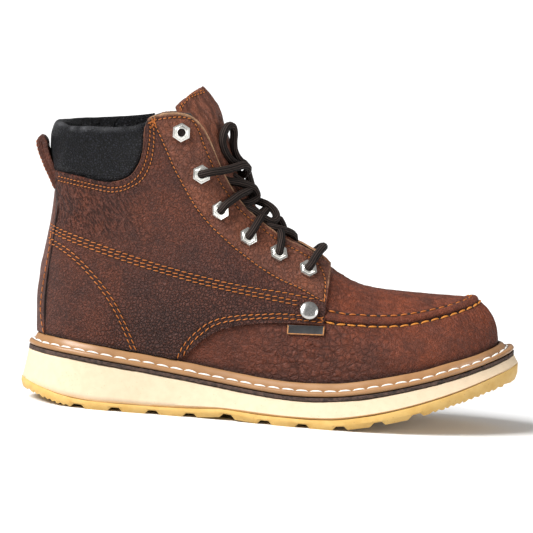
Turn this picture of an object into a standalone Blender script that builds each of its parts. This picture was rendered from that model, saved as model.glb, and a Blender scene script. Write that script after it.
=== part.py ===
"""Moc toe work boot for the right foot: lasted upper, stitched welt and wedge sole.

Metres, +Z up, toe along +X, outer side of the foot along -Y, floor at Z = 0.
Tables and sizes below are in millimetres and are scaled once, when a mesh is made.
"""

import math

import bmesh
import bpy
import numpy as np

MM = 0.001

# Driving sizes
GAP = 0.3  # clearance between pieces that meet
WALL = 2.0  # leather and lining of the upper
PANEL = 1.5  # quarter leather laid over the upper
MIDSOLE = 2.2  # dark leather layer under the welt
BEAD = 7.9  # height of the upright edge of the welt
INSOLE = 3.5
TONGUE = 3.4
LACE = 4.4  # diameter of the cord
FLARE = 2.9  # how far the sole spreads below the welt
LUG_PITCH = 22.9
FIRST_GROOVE = -115.7
GROOVES = 10
GROOVE_WIDE, GROOVE_NARROW, GROOVE_DEEP = 9.4, 4.6, 2.3

# Plan of the upper where it meets the welt, and of the welt's outer edge
FOOT_HEEL, FOOT_TOE = (-143.0, 0.0), (138.9, 5.6)
FOOT_PLAN = (
    # x, outer, inner
    (-137.0, 15.0, 15.0),
    (-125.0, 26.0, 25.5),
    (-106.0, 32.0, 31.2),
    (-75.0, 33.2, 31.4),
    (-45.0, 34.4, 30.8),
    (-15.0, 38.8, 31.8),
    (15.0, 43.8, 36.6),
    (40.0, 46.0, 42.6),
    (62.0, 45.7, 45.8),
    (85.0, 42.2, 45.9),
    (105.0, 36.0, 42.8),
    (120.0, 27.6, 37.2),
    (131.0, 16.6, 27.8),
    (136.8, 6.4, 17.4),
)
SOLE_HEEL, SOLE_TOE = (-149.5, 0.0), (149.2, 6.0)
SOLE_PLAN = (
    # x, outer, inner
    (-143.0, 17.5, 17.5),
    (-130.0, 31.0, 30.5),
    (-108.0, 38.6, 37.6),
    (-75.0, 40.0, 38.2),
    (-45.0, 41.4, 37.6),
    (-15.0, 45.9, 38.4),
    (15.0, 51.0, 43.6),
    (40.0, 53.2, 49.6),
    (62.0, 53.0, 52.8),
    (85.0, 49.6, 53.2),
    (105.0, 43.4, 50.2),
    (122.0, 34.0, 43.6),
    (136.5, 21.2, 32.6),
    (145.6, 8.2, 21.0),
)

# Side lines of the sole: underside, top of the gum layer, top of the pale wedge
SOLE_LINES = (
    # x, tread, gum, wedge
    (-154.0, 7.2, 13.4, 30.2),
    (-140.0, 4.3, 10.2, 29.9),
    (-126.0, 1.1, 7.0, 29.3),
    (-112.0, 0.0, 5.4, 28.1),
    (-90.0, 0.0, 5.0, 26.0),
    (-48.0, 0.0, 5.5, 21.3),
    (-27.0, 1.8, 6.9, 18.9),
    (-8.0, 0.0, 5.7, 16.9),
    (12.0, 0.0, 5.4, 15.4),
    (38.0, 0.0, 6.1, 16.6),
    (60.0, 3.2, 9.9, 20.2),
    (85.0, 9.3, 16.8, 26.4),
    (110.0, 17.8, 25.4, 33.6),
    (130.0, 25.2, 33.6, 40.4),
    (154.0, 34.0, 43.8, 49.5),
)

# Section of the welt: share of its width, height over the dark layer
WELT_SECTION = (
    (0.93, 0.0),
    (1.0, 1.5),
    (0.9, 3.2),
    (0.68, 3.4),
    (0.54, 2.7),
    (0.42, 4.6),
    (0.24, 7.3),
    (0.1, BEAD),
)

# Top edge of the upper in side view: the scoop under the collar, then the top line and the throat
SCOOP = (
    (-137.6, 141.8),
    (-124.0, 140.2),
    (-105.0, 137.9),
    (-97.0, 139.4),
    (-90.5, 144.3),
    (-87.3, 152.0),
    (-86.3, 165.0),
    (-86.6, 179.5),
)
THROAT = (
    (-86.6, 179.5),
    (-76.0, 183.0),
    (-64.0, 184.0),
    (-56.0, 181.6),
    (-51.5, 175.0),
    (-47.5, 166.0),
    (-41.5, 153.4),
    (-31.3, 136.0),
    (-16.6, 121.2),
    (4.2, 108.8),
    (20.5, 102.4),
    (36.0, 92.3),
)

# Lines from the welt up to the top edge. Key: 0 back of the heel, 1 end of the scoop, 2 foot of the
# throat. Half widths at the levels below, the first level being the welt itself.
RISERS = (
    # key, foot x, low, middle, high, near top, top
    (0.0, -143.0, 0.0, 0.0, 0.0, 0.0, 0.0),
    (0.09, -137.0, 16.8, 15.6, 14.2, 14.0, 14.2),
    (0.25, -122.0, 30.3, 28.6, 26.2, 26.2, 26.6),
    (0.40, -102.0, 34.3, 33.2, 31.4, 31.5, 32.0),
    (0.59, -82.0, 35.4, 34.8, 33.8, 34.2, 34.8),
    (0.83, -66.0, 36.0, 35.3, 34.6, 35.2, 35.8),
    (1.0, -54.0, 36.4, 35.6, 34.8, 35.3, 35.8),
    (1.14, -40.0, 37.4, 35.8, 33.5, 33.0, 32.5),
    (1.24, -30.0, 38.5, 36.3, 32.3, 30.0, 27.5),
    (1.385, -18.0, 40.2, 37.2, 31.2, 26.6, 22.5),
    (1.635, 0.0, 42.9, 39.4, 31.6, 25.0, 18.0),
    (1.78, 12.0, 44.6, 40.6, 31.8, 24.5, 16.0),
    (1.89, 22.0, 45.8, 41.4, 31.8, 23.3, 12.5),
    (2.0, 31.0, 46.6, 42.0, 31.2, 20.6, 0.0),
)
RISER_LEVELS = (0.0, 0.25, 0.5, 0.75, 0.9, 1.0)
HEEL_BOW = ((0.0, 0.0), (0.25, -3.0), (0.5, -1.5), (0.75, 0.6), (1.0, 0.0))  # height share, x
HEEL_BOW_REACH = 0.4
HEEL_ROUND = 0.12
# Key and how much lower the top corner sits on the inner side
INNER_DROP = ((0.6, 0.0), (0.8, 0.0), (1.0, 3.2), (1.14, 3.2), (1.3, 0.0), (1.5, 0.0))

# Moc seam round the toe: how far inside the welt line, how high, and how the wall below it swells
SEAM = (
    # foot x, inset, z, belly, shoulder
    (31.0, 5.4, 63.6, 3.2, 2.6),
    (45.0, 8.0, 62.0, 3.3, 2.2),
    (62.0, 10.0, 61.9, 3.2, 1.5),
    (82.0, 11.4, 63.6, 2.8, 0.2),
    (100.0, 12.2, 67.6, 2.0, -1.2),
    (115.0, 12.8, 71.7, 1.2, -2.6),
    (128.0, 13.2, 75.4, 0.7, -4.2),
    (135.0, 13.4, 77.8, 0.4, -5.0),
    (138.9, 13.6, 79.0, 0.2, -5.3),
)
RIDGE = (
    # x, z of the middle of the apron
    (36.0, 92.3),
    (41.0, 88.0),
    (46.0, 85.9),
    (51.0, 84.5),
    (61.0, 82.9),
    (75.0, 82.2),
    (95.0, 81.4),
    (110.0, 81.3),
    (119.0, 80.8),
    (125.5, 79.0),
)
ROLL_CREST, ROLL_INNER, ROLL_HIGH = 3.2, 6.7, 2.8  # raised roll along the inside of the moc seam
APRON_POWER = 2.2

# Lower edge of the quarter over the vamp, from its front corner back to the welt
QUARTER_EDGE = (
    (-51.5, 36.0),
    (-45.2, 45.0),
    (-35.1, 52.5),
    (-19.2, 58.4),
    (-7.1, 60.3),
    (8.9, 61.6),
    (34.0, 61.8),
)
QUARTER_FRONT, QUARTER_BACK = 1.965, 0.085

COLLAR_END, COLLAR_BACK = 0.64, 1.0  # key of its front edge, and how far behind the leather
COLLAR_LEAN, COLLAR_SPREAD = 5.2, 0.4  # how far its top leans out at the back and at the front
COLLAR_TOP = ((0.0, 171.6), (0.3, 173.4), (0.5, 175.6), (0.64, 178.0))  # key, z
COLLAR_SECTION = (
    # outward, share of height
    (1.2, 0.0),
    (2.7, 0.22),
    (3.1, 0.55),
    (2.5, 0.82),
    (0.4, 0.97),
    (-2.6, 1.0),
    (-5.6, 0.95),
    (-7.2, 0.74),
    (-6.4, 0.36),
    (-4.6, 0.0),
)

TONGUE_TOP = (
    # middle x, middle z, edge half width, edge x, edge z
    (-55.3, 197.6, 25.0, -70.8, 186.5),
    (-49.9, 193.6, 26.4, -69.4, 181.6),
    (-43.8, 185.6, 28.0, -67.2, 176.4),
)
TONGUE_RISE = (
    # key, how far its middle stands off the line between the two throat edges
    (1.24, 12.0),
    (1.385, 10.2),
    (1.5, 8.2),
    (1.635, 6.4),
    (1.78, 4.8),
    (1.89, 2.8),
)
TONGUE_FLAP = 12.0  # how far its edges reach behind the throat
TONGUE_END = ((33.0, 13.0), (42.0, 13.5), (50.0, 12.5))  # x, half width of the end under the apron

EYELETS = ((17.7, 92.8), (-0.9, 101.2), (-20.1, 110.1), (-38.5, 125.2), (-50.7, 146.8), (-64.6, 171.3))
EYELET_FLATS, EYELET_HOLE, EYELET_THICK = 10.2, 5.6, 0.9
RIVET_AT, RIVET_WIDE, RIVET_HIGH = (20.6, 70.0), 11.5, 2.6
LABEL_X, LABEL_Z, LABEL_THICK = (8.4, 30.6), (54.2, 59.6), 0.8
LOOP_WIDE, LOOP_THICK = 19.0, 1.7
LOOP_LINE = (
    (-139.0, 133.6),
    (-142.5, 140.0),
    (-147.8, 149.0),
    (-151.0, 156.0),
    (-151.5, 160.0),
    (-150.5, 162.2),
    (-149.0, 160.8),
    (-148.1, 156.4),
    (-146.8, 151.4),
    (-146.0, 148.6),
)
KNOT_KEY, KNOT_HIGH, KNOT_SIZE = 1.43, 6.2, (5.0, 5.8, 4.2)
LOOP_UP = (
    # key, y, height over the tongue
    (1.396, -1.6, 6.6),
    (1.35, -2.2, 5.8),
    (1.31, -2.6, 6.0),
    (1.275, -3.4, 6.8),
    (1.252, -5.6, 6.2),
    (1.268, -8.4, 4.2),
    (1.31, -9.0, 3.2),
    (1.355, -7.8, 3.2),
    (1.385, -6.4, 4.6),
)
LOOP_DOWN = (
    (1.475, 2.2, 7.8),
    (1.51, 3.8, 8.2),
    (1.57, 5.6, 7.0),
    (1.635, 5.4, 8.3),
    (1.685, 2.8, 7.2),
    (1.695, -1.5, 7.0),
    (1.66, -5.0, 8.2),
    (1.60, -6.2, 7.8),
    (1.53, -4.8, 8.2),
    (1.48, -3.0, 8.0),
)
# First row as above, then key, share and height over the inner quarter
END_LONG = ((1.47, 9.4, 7.6), (1.575, 1.0, 8.4), (1.565, 0.88, 7.0), (1.53, 0.76, 5.6), (1.5, 0.66, 5.0))
END_SHORT = ((1.404, 6.8, 8.4), (1.32, 1.0, 9.6), (1.27, 0.95, 8.4), (1.23, 0.91, 6.8), (1.19, 0.88, 6.0))

# Mesh steps
SOLE_STEPS = 28
RISER_SHARES = (0.0, 0.11, 0.22, 0.33, 0.45, 0.56, 0.588, 0.625, 0.72, 0.81, 0.9, 1.0)
SEAM_ROW = 6  # row of the sheet that is the moc seam, counted from the foot row
SCOOP_STEPS, THROAT_STEPS, TOE_STEPS, APRON_CELLS = 10, 12, 13, 8


class Track:
    """A smooth curve through a table's rows, read at any key. Level tracks keep flat runs flat."""

    def __init__(self, keys, values, level=False):
        self.keys = np.asarray(keys, float)
        self.values = np.asarray(values, float)
        steps = np.diff(self.keys)
        rise = (np.diff(self.values, axis=0).T / steps).T
        slopes = np.empty_like(self.values)
        slopes[0], slopes[-1] = rise[0], rise[-1]
        for i in range(1, len(steps)):
            before, after = steps[i - 1], steps[i]
            slopes[i] = (before * rise[i] + after * rise[i - 1]) / (before + after)
            if level and rise[i] * rise[i - 1] <= 0:
                slopes[i] = 0.0
        self.slopes = slopes

    def __call__(self, key):
        key = min(max(key, self.keys[0]), self.keys[-1])
        i = min(int(np.searchsorted(self.keys, key, side="right")) - 1, len(self.keys) - 2)
        span = self.keys[i + 1] - self.keys[i]
        t = (key - self.keys[i]) / span
        return (
            (1 + 2 * t) * (1 - t) ** 2 * self.values[i]
            + t * (1 - t) ** 2 * span * self.slopes[i]
            + t * t * (3 - 2 * t) * self.values[i + 1]
            + t * t * (t - 1) * span * self.slopes[i + 1]
        )


def column_track(rows, column, level=False):
    """Track of one column of a table whose first column is the key."""
    return Track([row[0] for row in rows], [row[column] for row in rows], level)


def path_track(points):
    """Track along a run of points, keyed 0 to 1 by length."""
    points = np.asarray(points, float)
    run = np.concatenate([[0.0], np.cumsum(np.linalg.norm(np.diff(points, axis=0), axis=1))])
    return Track(run / run[-1], points)


class Plan:
    """Closed outline seen from above, from a table of half widths along the boot."""

    def __init__(self, rows, heel, toe):
        outer = [(x, -y) for x, y, _ in rows]
        inner = [(x, y) for x, _, y in reversed(rows)]
        loop = [heel, *outer, toe, *inner]
        around = np.array(loop[-4:] + loop + loop[:5], float)
        run = np.concatenate([[0.0], np.cumsum(np.linalg.norm(np.diff(around, axis=0), axis=1))])
        track = Track(run, around)
        self.points = np.array([track(k) for k in np.linspace(run[4], run[4 + len(loop)], 721)[:-1]])
        tangent = np.roll(self.points, -1, axis=0) - np.roll(self.points, 1, axis=0)
        tangent /= np.linalg.norm(tangent, axis=1)[:, None]
        self.normals = np.stack([tangent[:, 1], -tangent[:, 0]], axis=1)

    def sides(self, offset=0.0):
        """Outer and inner chains from heel to toe, as rows of x, y, normal x, normal y."""
        points = np.hstack([self.points + self.normals * offset, self.normals])
        points = np.roll(points, -int(np.argmin(points[:, 0])), axis=0)
        toe = int(np.argmax(points[:, 0]))
        outer = points[: toe + 1]
        inner = np.vstack([points[toe:], points[:1]])[::-1]
        return outer, inner

    def at(self, x, side, offset=0.0):
        """x, y and outward normal at a place along the outer (-1) or inner (1) side."""
        chain = self.sides(offset)[0 if side < 0 else 1]
        return np.array([np.interp(x, chain[:, 0], chain[:, k]) for k in range(4)])

    def ring(self, shares, offset=0.0):
        """Loop of points heel, outer side, toe, inner side, at shares of the length."""
        outer, inner = self.sides(offset)
        low, high = outer[0, 0], outer[-1, 0]
        xs = low + (high - low) * np.asarray(shares)
        lateral = [(x, np.interp(x, outer[:, 0], outer[:, 1])) for x in xs]
        medial = [(x, np.interp(x, inner[:, 0], inner[:, 1])) for x in xs[1:-1]]
        return np.array(lateral + medial[::-1])


foot_plan = Plan(FOOT_PLAN, FOOT_HEEL, FOOT_TOE)
sole_plan = Plan(SOLE_PLAN, SOLE_HEEL, SOLE_TOE)
tread_line = column_track(SOLE_LINES, 1, level=True)
gum_line = column_track(SOLE_LINES, 2)
wedge_line = column_track(SOLE_LINES, 3)


def dark_line(x):
    """Top of the dark leather layer."""
    return wedge_line(x) + GAP + MIDSOLE


def foot_line(x):
    """Height of the welt's underside and of the lower edge of the upper."""
    return dark_line(x) + GAP


def bead_line(x):
    """Height of the top of the welt."""
    return foot_line(x) + BEAD


class Quarter:
    """Surface of the upper from the back of the heel to the foot of the throat, on either side."""

    def __init__(self):
        keys = [row[0] for row in RISERS]
        mirrored = [-k for k in reversed(keys[1:3])] + keys
        foot_x = [row[1] for row in RISERS]
        self.foot_x = Track(mirrored, [*reversed(foot_x[1:3]), *foot_x])
        widths = [row[2:] for row in RISERS]
        opposite = [[-w for w in row] for row in reversed(widths[1:3])]
        self.widths = Track(mirrored, opposite + [list(row) for row in widths])
        self.scoop, self.throat = path_track(SCOOP), path_track(THROAT)
        self.bow = Track(*zip(*HEEL_BOW))
        self.drop = Track(*zip(*INNER_DROP), level=True)
        keys, shares = np.linspace(0, 2, 161), np.linspace(0, 1, 61)
        self.samples = [(k, f, *self.point(k, f, -1)[[0, 2]]) for k in keys for f in shares]
        self.samples = np.array(self.samples)

    def top(self, key):
        """Side view place on the top edge. The back of the heel is rounded, so it starts slowly."""
        if key > 1:
            return self.throat(key - 1)
        return self.scoop(key * key * (1 + HEEL_ROUND) / (key + HEEL_ROUND))

    def point(self, key, share, side):
        """Point at a key round the quarter and a share of the height over the welt."""
        start, (top_x, top_z) = self.foot_x(key), self.top(key)
        fade = max(0.0, 1 - key / HEEL_BOW_REACH) ** 2
        x = start + (top_x - start) * share + self.bow(share) * fade
        z = bead_line(start) + (top_z - bead_line(start)) * share
        outer = -foot_plan.at(start, -1)[1] if key > 0 else 0.0
        inner = foot_plan.at(start, 1)[1] if key > 0 else 0.0
        width = Track(RISER_LEVELS, [outer, *self.widths(key)])(share)
        if side > 0:
            width += (inner - outer) * (1 - share) ** 1.2
            z -= self.drop(key) * share**3
        return np.array([x, side * width, z])

    def normal(self, key, share, side):
        """Outward direction of the surface."""
        step = 0.004
        k0, k1 = max(key - step, 0.0), min(key + step, 2.0)
        f0, f1 = max(share - step, 0.0), min(share + step, 1.0)
        along = self.point(k1, share, side) - self.point(k0, share, side)
        up = self.point(key, f1, side) - self.point(key, f0, side)
        if key < step:
            along = np.array([0.0, side * 1.0, 0.0])
        across = np.cross(along, up) * -side
        return across / np.linalg.norm(across)

    def lifted(self, key, share, side, height):
        return self.point(key, share, side) + self.normal(key, share, side) * height

    def locate(self, x, z):
        """Key and share of the place that has this x and z in side view."""
        best = np.argmin((self.samples[:, 2] - x) ** 2 + (self.samples[:, 3] - z) ** 2)
        key, share = self.samples[best, :2]
        for _ in range(4):
            here = self.point(key, share, -1)[[0, 2]]
            by_key = (self.point(key + 1e-3, share, -1)[[0, 2]] - here) / 1e-3
            by_share = (self.point(key, share - 1e-3, -1)[[0, 2]] - here) / -1e-3
            step = np.linalg.solve(np.stack([by_key, by_share], axis=1), np.array([x, z]) - here)
            key, share = min(max(key + step[0], 0), 2), min(max(share + step[1], 0), 1)
        return key, share

    def throat_key(self, x, z):
        """Key of the place on the throat's edge that is nearest to this x and z in side view."""
        keys = np.linspace(1.15, 1.97, 165)
        return min(keys, key=lambda k: math.hypot(*(self.top(k) - (x, z))))

    def share_at_height(self, key, height_at):
        """Share of the height where a riser crosses a line z = height_at(x)."""
        low, high = 0.0, 1.0
        for _ in range(30):
            middle = (low + high) / 2
            x, _, z = self.point(key, middle, -1)
            low, high = (middle, high) if z < height_at(x) else (low, middle)
        return low


quarter = Quarter()


class Vamp:
    """Surface of the toe: a swelling wall up to the moc seam and an apron inside it."""

    def __init__(self):
        self.inset, self.height, self.belly, self.shoulder = (column_track(SEAM, c) for c in (1, 2, 3, 4))
        self.ridge = column_track(RIDGE, 1)
        xs = np.linspace(FOOT_PLAN[7][0] - 9.0, FOOT_TOE[0], 90)
        self.chains = [np.array([self.seam(x, side) for x in xs]) for side in (-1, 1)]

    def seam(self, foot_x, side, inside=0.0):
        """Point of the moc seam that belongs to a place along the welt, or of a line inside it."""
        x, y, nx, ny = foot_plan.at(foot_x, side)
        reach = self.inset(foot_x) + inside
        return np.array([x - nx * reach, y - ny * reach, self.height(foot_x)])

    def wall(self, foot_x, side, share):
        """Point of the wall between the top of the welt and the seam."""
        x, y, nx, ny = foot_plan.at(foot_x, side)
        low, high = bead_line(x), self.height(foot_x)
        out = (0.0, self.belly(foot_x), self.shoulder(foot_x), -self.inset(foot_x))
        up = (low, low + 0.4 * (high - low), low + 0.82 * (high - low), high)
        blend = ((1 - share) ** 3, 3 * share * (1 - share) ** 2, 3 * share**2 * (1 - share), share**3)
        reach, z = np.dot(blend, out), np.dot(blend, up)
        return np.array([x + nx * reach, y + ny * reach, z])

    def apron(self, x, y):
        """Height of the apron at a place inside the seam."""
        outer = [np.interp(x, self.chains[0][:, 0], self.chains[0][:, c]) for c in (1, 2)]
        inner = [np.interp(x, self.chains[1][:, 0], self.chains[1][:, c]) for c in (1, 2)]
        middle, half = (outer[0] + inner[0]) / 2, max((inner[0] - outer[0]) / 2, 0.5)
        off = min(abs(y - middle) / half, 1.0)
        rim = outer[1] if y < middle else inner[1]
        rim_middle = (outer[1] + inner[1]) / 2
        rim = rim_middle + (rim - rim_middle) * off
        return rim + (self.ridge(x) - rim) * (1 - off**APRON_POWER)


vamp = Vamp()


class Sheet:
    """Points and faces of an open surface, with how far each point is raised."""

    def __init__(self):
        self.points, self.faces, self.relief = [], [], []

    def add(self, point, relief=0.0):
        self.points.append(np.asarray(point, float))
        self.relief.append(relief)
        return len(self.points) - 1

    def strip(self, first, second):
        """Faces between two rows of points, with repeated corners dropped."""
        for i in range(len(first) - 1):
            corners = [first[i], first[i + 1], second[i + 1], second[i]]
            face = [c for n, c in enumerate(corners) if c != corners[n - 1]]
            if len(set(face)) > 2:
                self.faces.append(face)

    def normals(self):
        points = np.array(self.points)
        normals = np.zeros_like(points)
        for face in self.faces:
            a, b, c = points[face[0]], points[face[1]], points[face[2]]
            d = points[face[-1]]
            normals[face] += np.cross(c - a, d - b) if len(face) == 4 else np.cross(b - a, c - a)
        return normals / np.linalg.norm(normals, axis=1)[:, None]


def material(name, colour, rough, metal=0.0):
    made = bpy.data.materials.new(name)
    made.use_nodes = True
    shader = made.node_tree.nodes["Principled BSDF"]
    shader.inputs["Base Color"].default_value = (*colour, 1.0)
    shader.inputs["Roughness"].default_value = rough
    shader.inputs["Metallic"].default_value = metal
    return made


BROWN = ((0.20, 0.085, 0.04), 0.5)
BLACK = ((0.02, 0.02, 0.022), 0.6)
CORD = ((0.035, 0.022, 0.018), 0.8)
STEEL = ((0.62, 0.62, 0.64), 0.3, 1.0)


def solid(name, points, faces, finish):
    """Object from points in millimetres, with its faces turned outwards."""
    mesh = bpy.data.meshes.new(name)
    built = bmesh.new()
    verts = [built.verts.new(np.asarray(p) * MM) for p in points]
    for face in faces:
        built.faces.new([verts[i] for i in face])
    bmesh.ops.recalc_face_normals(built, faces=built.faces)
    if built.calc_volume(signed=True) < 0:
        bmesh.ops.reverse_faces(built, faces=built.faces)
    built.to_mesh(mesh)
    built.free()
    made = bpy.data.objects.new(name, mesh)
    bpy.context.collection.objects.link(made)
    made.data.materials.append(material(name, *finish))
    return made


def thick(name, outer, inner, faces, finish):
    """Closed shell between two layers of the same sheet."""
    count = len(outer)
    edges = {}
    for face in faces:
        for a, b in zip(face, face[1:] + face[:1]):
            edges[(a, b)] = edges.get((a, b), 0) + 1
    rim = [(b, a, a + count, b + count) for a, b in edges if (b, a) not in edges]
    backs = [[i + count for i in reversed(face)] for face in faces]
    return solid(name, [*outer, *inner], [*faces, *backs, *rim], finish)


def grid_faces(rows, columns):
    return [
        [r * columns + c, r * columns + c + 1, (r + 1) * columns + c + 1, (r + 1) * columns + c]
        for r in range(rows - 1)
        for c in range(columns - 1)
    ]


def stacked(name, rings, finish):
    """Solid from loops of one length, closed at both ends by strips across the boot."""
    count = len(rings[0])
    half = count // 2
    points = [p for ring in rings for p in ring]
    faces = []
    for level in range(len(rings) - 1):
        for i in range(count):
            j = (i + 1) % count
            base = level * count
            faces.append((base + i, base + j, base + count + j, base + count + i))
    for base in (0, (len(rings) - 1) * count):
        for i in range(half):
            far = (count - i) % count
            corners = [base + i, base + i + 1, base + count - i - 1, base + far]
            faces.append([c for n, c in enumerate(corners) if c != corners[n - 1]])
    return solid(name, points, faces, finish)


def with_height(ring, height):
    return [(x, y, height(x)) for x, y in ring]


def build_sole():
    """Gum outsole with its lugs, pale wedge, dark layer, insole and welt."""
    even = [(1 - math.cos(math.pi * i / SOLE_STEPS)) / 2 for i in range(SOLE_STEPS + 1)]
    low, high = SOLE_HEEL[0] - FLARE, SOLE_TOE[0] + FLARE
    stations = {}
    for i in range(GROOVES):
        middle = FIRST_GROOVE + LUG_PITCH * i
        for off, depth in ((GROOVE_WIDE, 0), (GROOVE_NARROW, GROOVE_DEEP)):
            stations[middle - off / 2] = stations[middle + off / 2] = depth
    shares = {(x - low) / (high - low): depth for x, depth in stations.items()}
    ends = [s for s in even if s < min(shares) - 0.01 or s > max(shares) + 0.01]
    shares.update({s: 0.0 for s in ends})
    tread = sorted(shares)
    rise = [shares[s] for s in tread]
    rise += rise[1:-1][::-1]
    under = [
        (x, y, tread_line(x) + up)
        for (x, y), up in zip(sole_plan.ring(tread, FLARE - 1.0), rise)
    ]
    side = with_height(sole_plan.ring(tread, FLARE), lambda x: tread_line(x) + 3.1)
    top = with_height(sole_plan.ring(tread, FLARE - 0.2), lambda x: gum_line(x) - 0.25)
    stacked("outsole", [under, side, top], ((0.55, 0.36, 0.14), 0.6))

    wedge = [
        with_height(sole_plan.ring(even, FLARE - 0.3), lambda x: gum_line(x) + GAP),
        with_height(sole_plan.ring(even, 0.8), lambda x: 0.35 * gum_line(x) + 0.65 * wedge_line(x)),
        with_height(sole_plan.ring(even, 0.0), wedge_line),
    ]
    stacked("wedge", wedge, ((0.78, 0.72, 0.58), 0.7))
    dark = [
        with_height(sole_plan.ring(even, -0.2), lambda x: wedge_line(x) + GAP),
        with_height(sole_plan.ring(even, -0.2), dark_line),
    ]
    stacked("midsole", dark, ((0.06, 0.03, 0.02), 0.55))
    inside = [
        with_height(foot_plan.ring(even, -WALL - 1.2), foot_line),
        with_height(foot_plan.ring(even, -WALL - 1.2), lambda x: foot_line(x) + INSOLE),
    ]
    stacked("insole", inside, ((0.05, 0.045, 0.04), 0.8))

    foot, edge = foot_plan.ring(even), sole_plan.ring(even)
    across = edge - foot
    wide = np.linalg.norm(across, axis=1)[:, None]
    close = foot + across / wide * 0.4
    loops = [foot + across * share for share, _ in WELT_SECTION] + [close, close]
    heights = [h for _, h in WELT_SECTION] + [BEAD - 0.9, 0.0]
    points = [(x, y, foot_line(x) + h) for loop, h in zip(loops, heights) for x, y in loop]
    count, layers = len(foot), len(loops)
    faces = [
        (a * count + i, a * count + (i + 1) % count, b * count + (i + 1) % count, b * count + i)
        for a in range(layers)
        for b in [(a + 1) % layers]
        for i in range(count)
    ]
    solid("welt", points, faces, ((0.50, 0.27, 0.11), 0.5))


def quarter_keys(start=0.0, end=2.0):
    """Keys round one side, with a line at the corner where the scoop ends."""
    scoop = np.linspace(0, 1, SCOOP_STEPS + 1) ** 1.15
    throat = 1 + np.linspace(0, 1, THROAT_STEPS + 1)
    keys = [k for k in [*scoop, *throat[1:]] if start < k < end]
    return [start, *keys, end]


def build_upper():
    """One hollow shell, open at the top line, the throat and underneath."""
    sheet = Sheet()
    keys = quarter_keys()
    columns = []
    for side, run in ((-1, keys[::-1]), (1, keys[1:])):
        for key in run:
            x, y, _ = quarter.point(key, 0.0, side)
            column = [sheet.add((x, y, foot_line(quarter.foot_x(key))))]
            column += [sheet.add(quarter.point(key, f, side)) for f in RISER_SHARES[:-1]]
            closing = side > 0 and key == keys[-1]
            column.append(columns[0][-1] if closing else sheet.add(quarter.point(key, 1.0, side)))
            columns.append(column)
    for before, after in zip(columns, columns[1:]):
        sheet.strip(after, before)

    start = RISERS[-1][1]
    turns = [math.pi / 2 * j / TOE_STEPS for j in range(1, TOE_STEPS + 1)]
    places = [start + (FOOT_TOE[0] - start) * math.sin(turn) for turn in turns]
    rows = SEAM_ROW + 3
    toe = [columns[0][:rows]]
    for side, run in ((-1, places), (1, places[-2::-1])):
        for foot_x in run:
            x, y, _, _ = foot_plan.at(foot_x, side)
            fade = min((foot_x - start) / 9.0, 1.0)
            column = [sheet.add((x, y, foot_line(x)))]
            column += [sheet.add(vamp.wall(foot_x, side, i / (SEAM_ROW - 1))) for i in range(SEAM_ROW)]
            for inside, raised in ((ROLL_CREST, ROLL_HIGH), (ROLL_INNER, 0.2)):
                px, py, _ = vamp.seam(foot_x, side, inside)
                column.append(sheet.add((px, py, vamp.apron(px, py)), raised * fade))
            toe.append(column)
    toe.append(columns[-1][:rows])
    for before, after in zip(toe, toe[1:]):
        sheet.strip(before, after)

    lines = [columns[0][rows - 1 :] + columns[-1][rows - 1 : -1][::-1]]
    for j in range(1, TOE_STEPS):
        first, last = toe[j][-1], toe[-1 - j][-1]
        line = [first]
        for cell in range(1, APRON_CELLS):
            across = sheet.points[last] - sheet.points[first]
            x, y, _ = sheet.points[first] + across * cell / APRON_CELLS
            line.append(sheet.add((x, y, vamp.apron(x, y))))
        lines.append([*line, last])
    lines.append([toe[TOE_STEPS][-1]] * (APRON_CELLS + 1))
    for before, after in zip(lines, lines[1:]):
        sheet.strip(before, after)

    normals, base = sheet.normals(), np.array(sheet.points)
    if normals[columns[6][4]][1] > 0:
        normals = -normals
    outer = base + normals * np.array(sheet.relief)[:, None]
    inner = base - normals * WALL
    feet = sorted({c[0] for c in columns + toe})
    inner[feet, 2] = base[feet, 2]
    thick("upper", outer, inner, sheet.faces, BROWN)


def panel(name, keys, side, shares_for, low, high, finish):
    """Patch of leather that follows the quarter between two heights over it."""
    points = {low: [], high: []}
    for height, layer in points.items():
        for key in keys:
            layer += [quarter.lifted(key, f, side, height) for f in shares_for(key)]
    columns = len(shares_for(keys[0]))
    return thick(name, points[high], points[low], grid_faces(len(keys), columns), finish)


def build_quarters():
    """Quarter leather on both sides, and the strip down the back of the heel."""
    edge = Track(*zip(*QUARTER_EDGE))

    def rise(key):
        reach = quarter.foot_x(key)
        low = (lambda x: bead_line(x) + 0.6) if reach < QUARTER_EDGE[0][0] else (lambda x: edge(x))
        start = quarter.share_at_height(key, lambda x: max(low(x), bead_line(x) + 0.6))
        return [start + (1 - start) * s for s in (0, 0.12, 0.26, 0.42, 0.58, 0.74, 0.88, 1)]

    keys = quarter_keys(QUARTER_BACK, QUARTER_FRONT)
    for name, side in (("quarter_outer", -1), ("quarter_inner", 1)):
        panel(name, keys, side, rise, 0.56, GAP + PANEL, BROWN)

    shares = [quarter.share_at_height(0.0, lambda x: bead_line(x) + 0.6)]
    shares += [0.17, 0.3, 0.43, 0.56, 0.69, 0.81, 0.895]
    across = [(QUARTER_BACK - 0.004) * s for s in (1, 0.66, 0.33)]
    rows = [(k, -1) for k in across] + [(0.0, -1)] + [(k, 1) for k in reversed(across)]
    layers = [
        [quarter.lifted(key, f, side, h) for key, side in rows for f in shares]
        for h in (GAP + PANEL + 0.5, GAP)
    ]
    thick("backstay", *layers, grid_faces(len(rows), len(shares)), BROWN)


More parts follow.
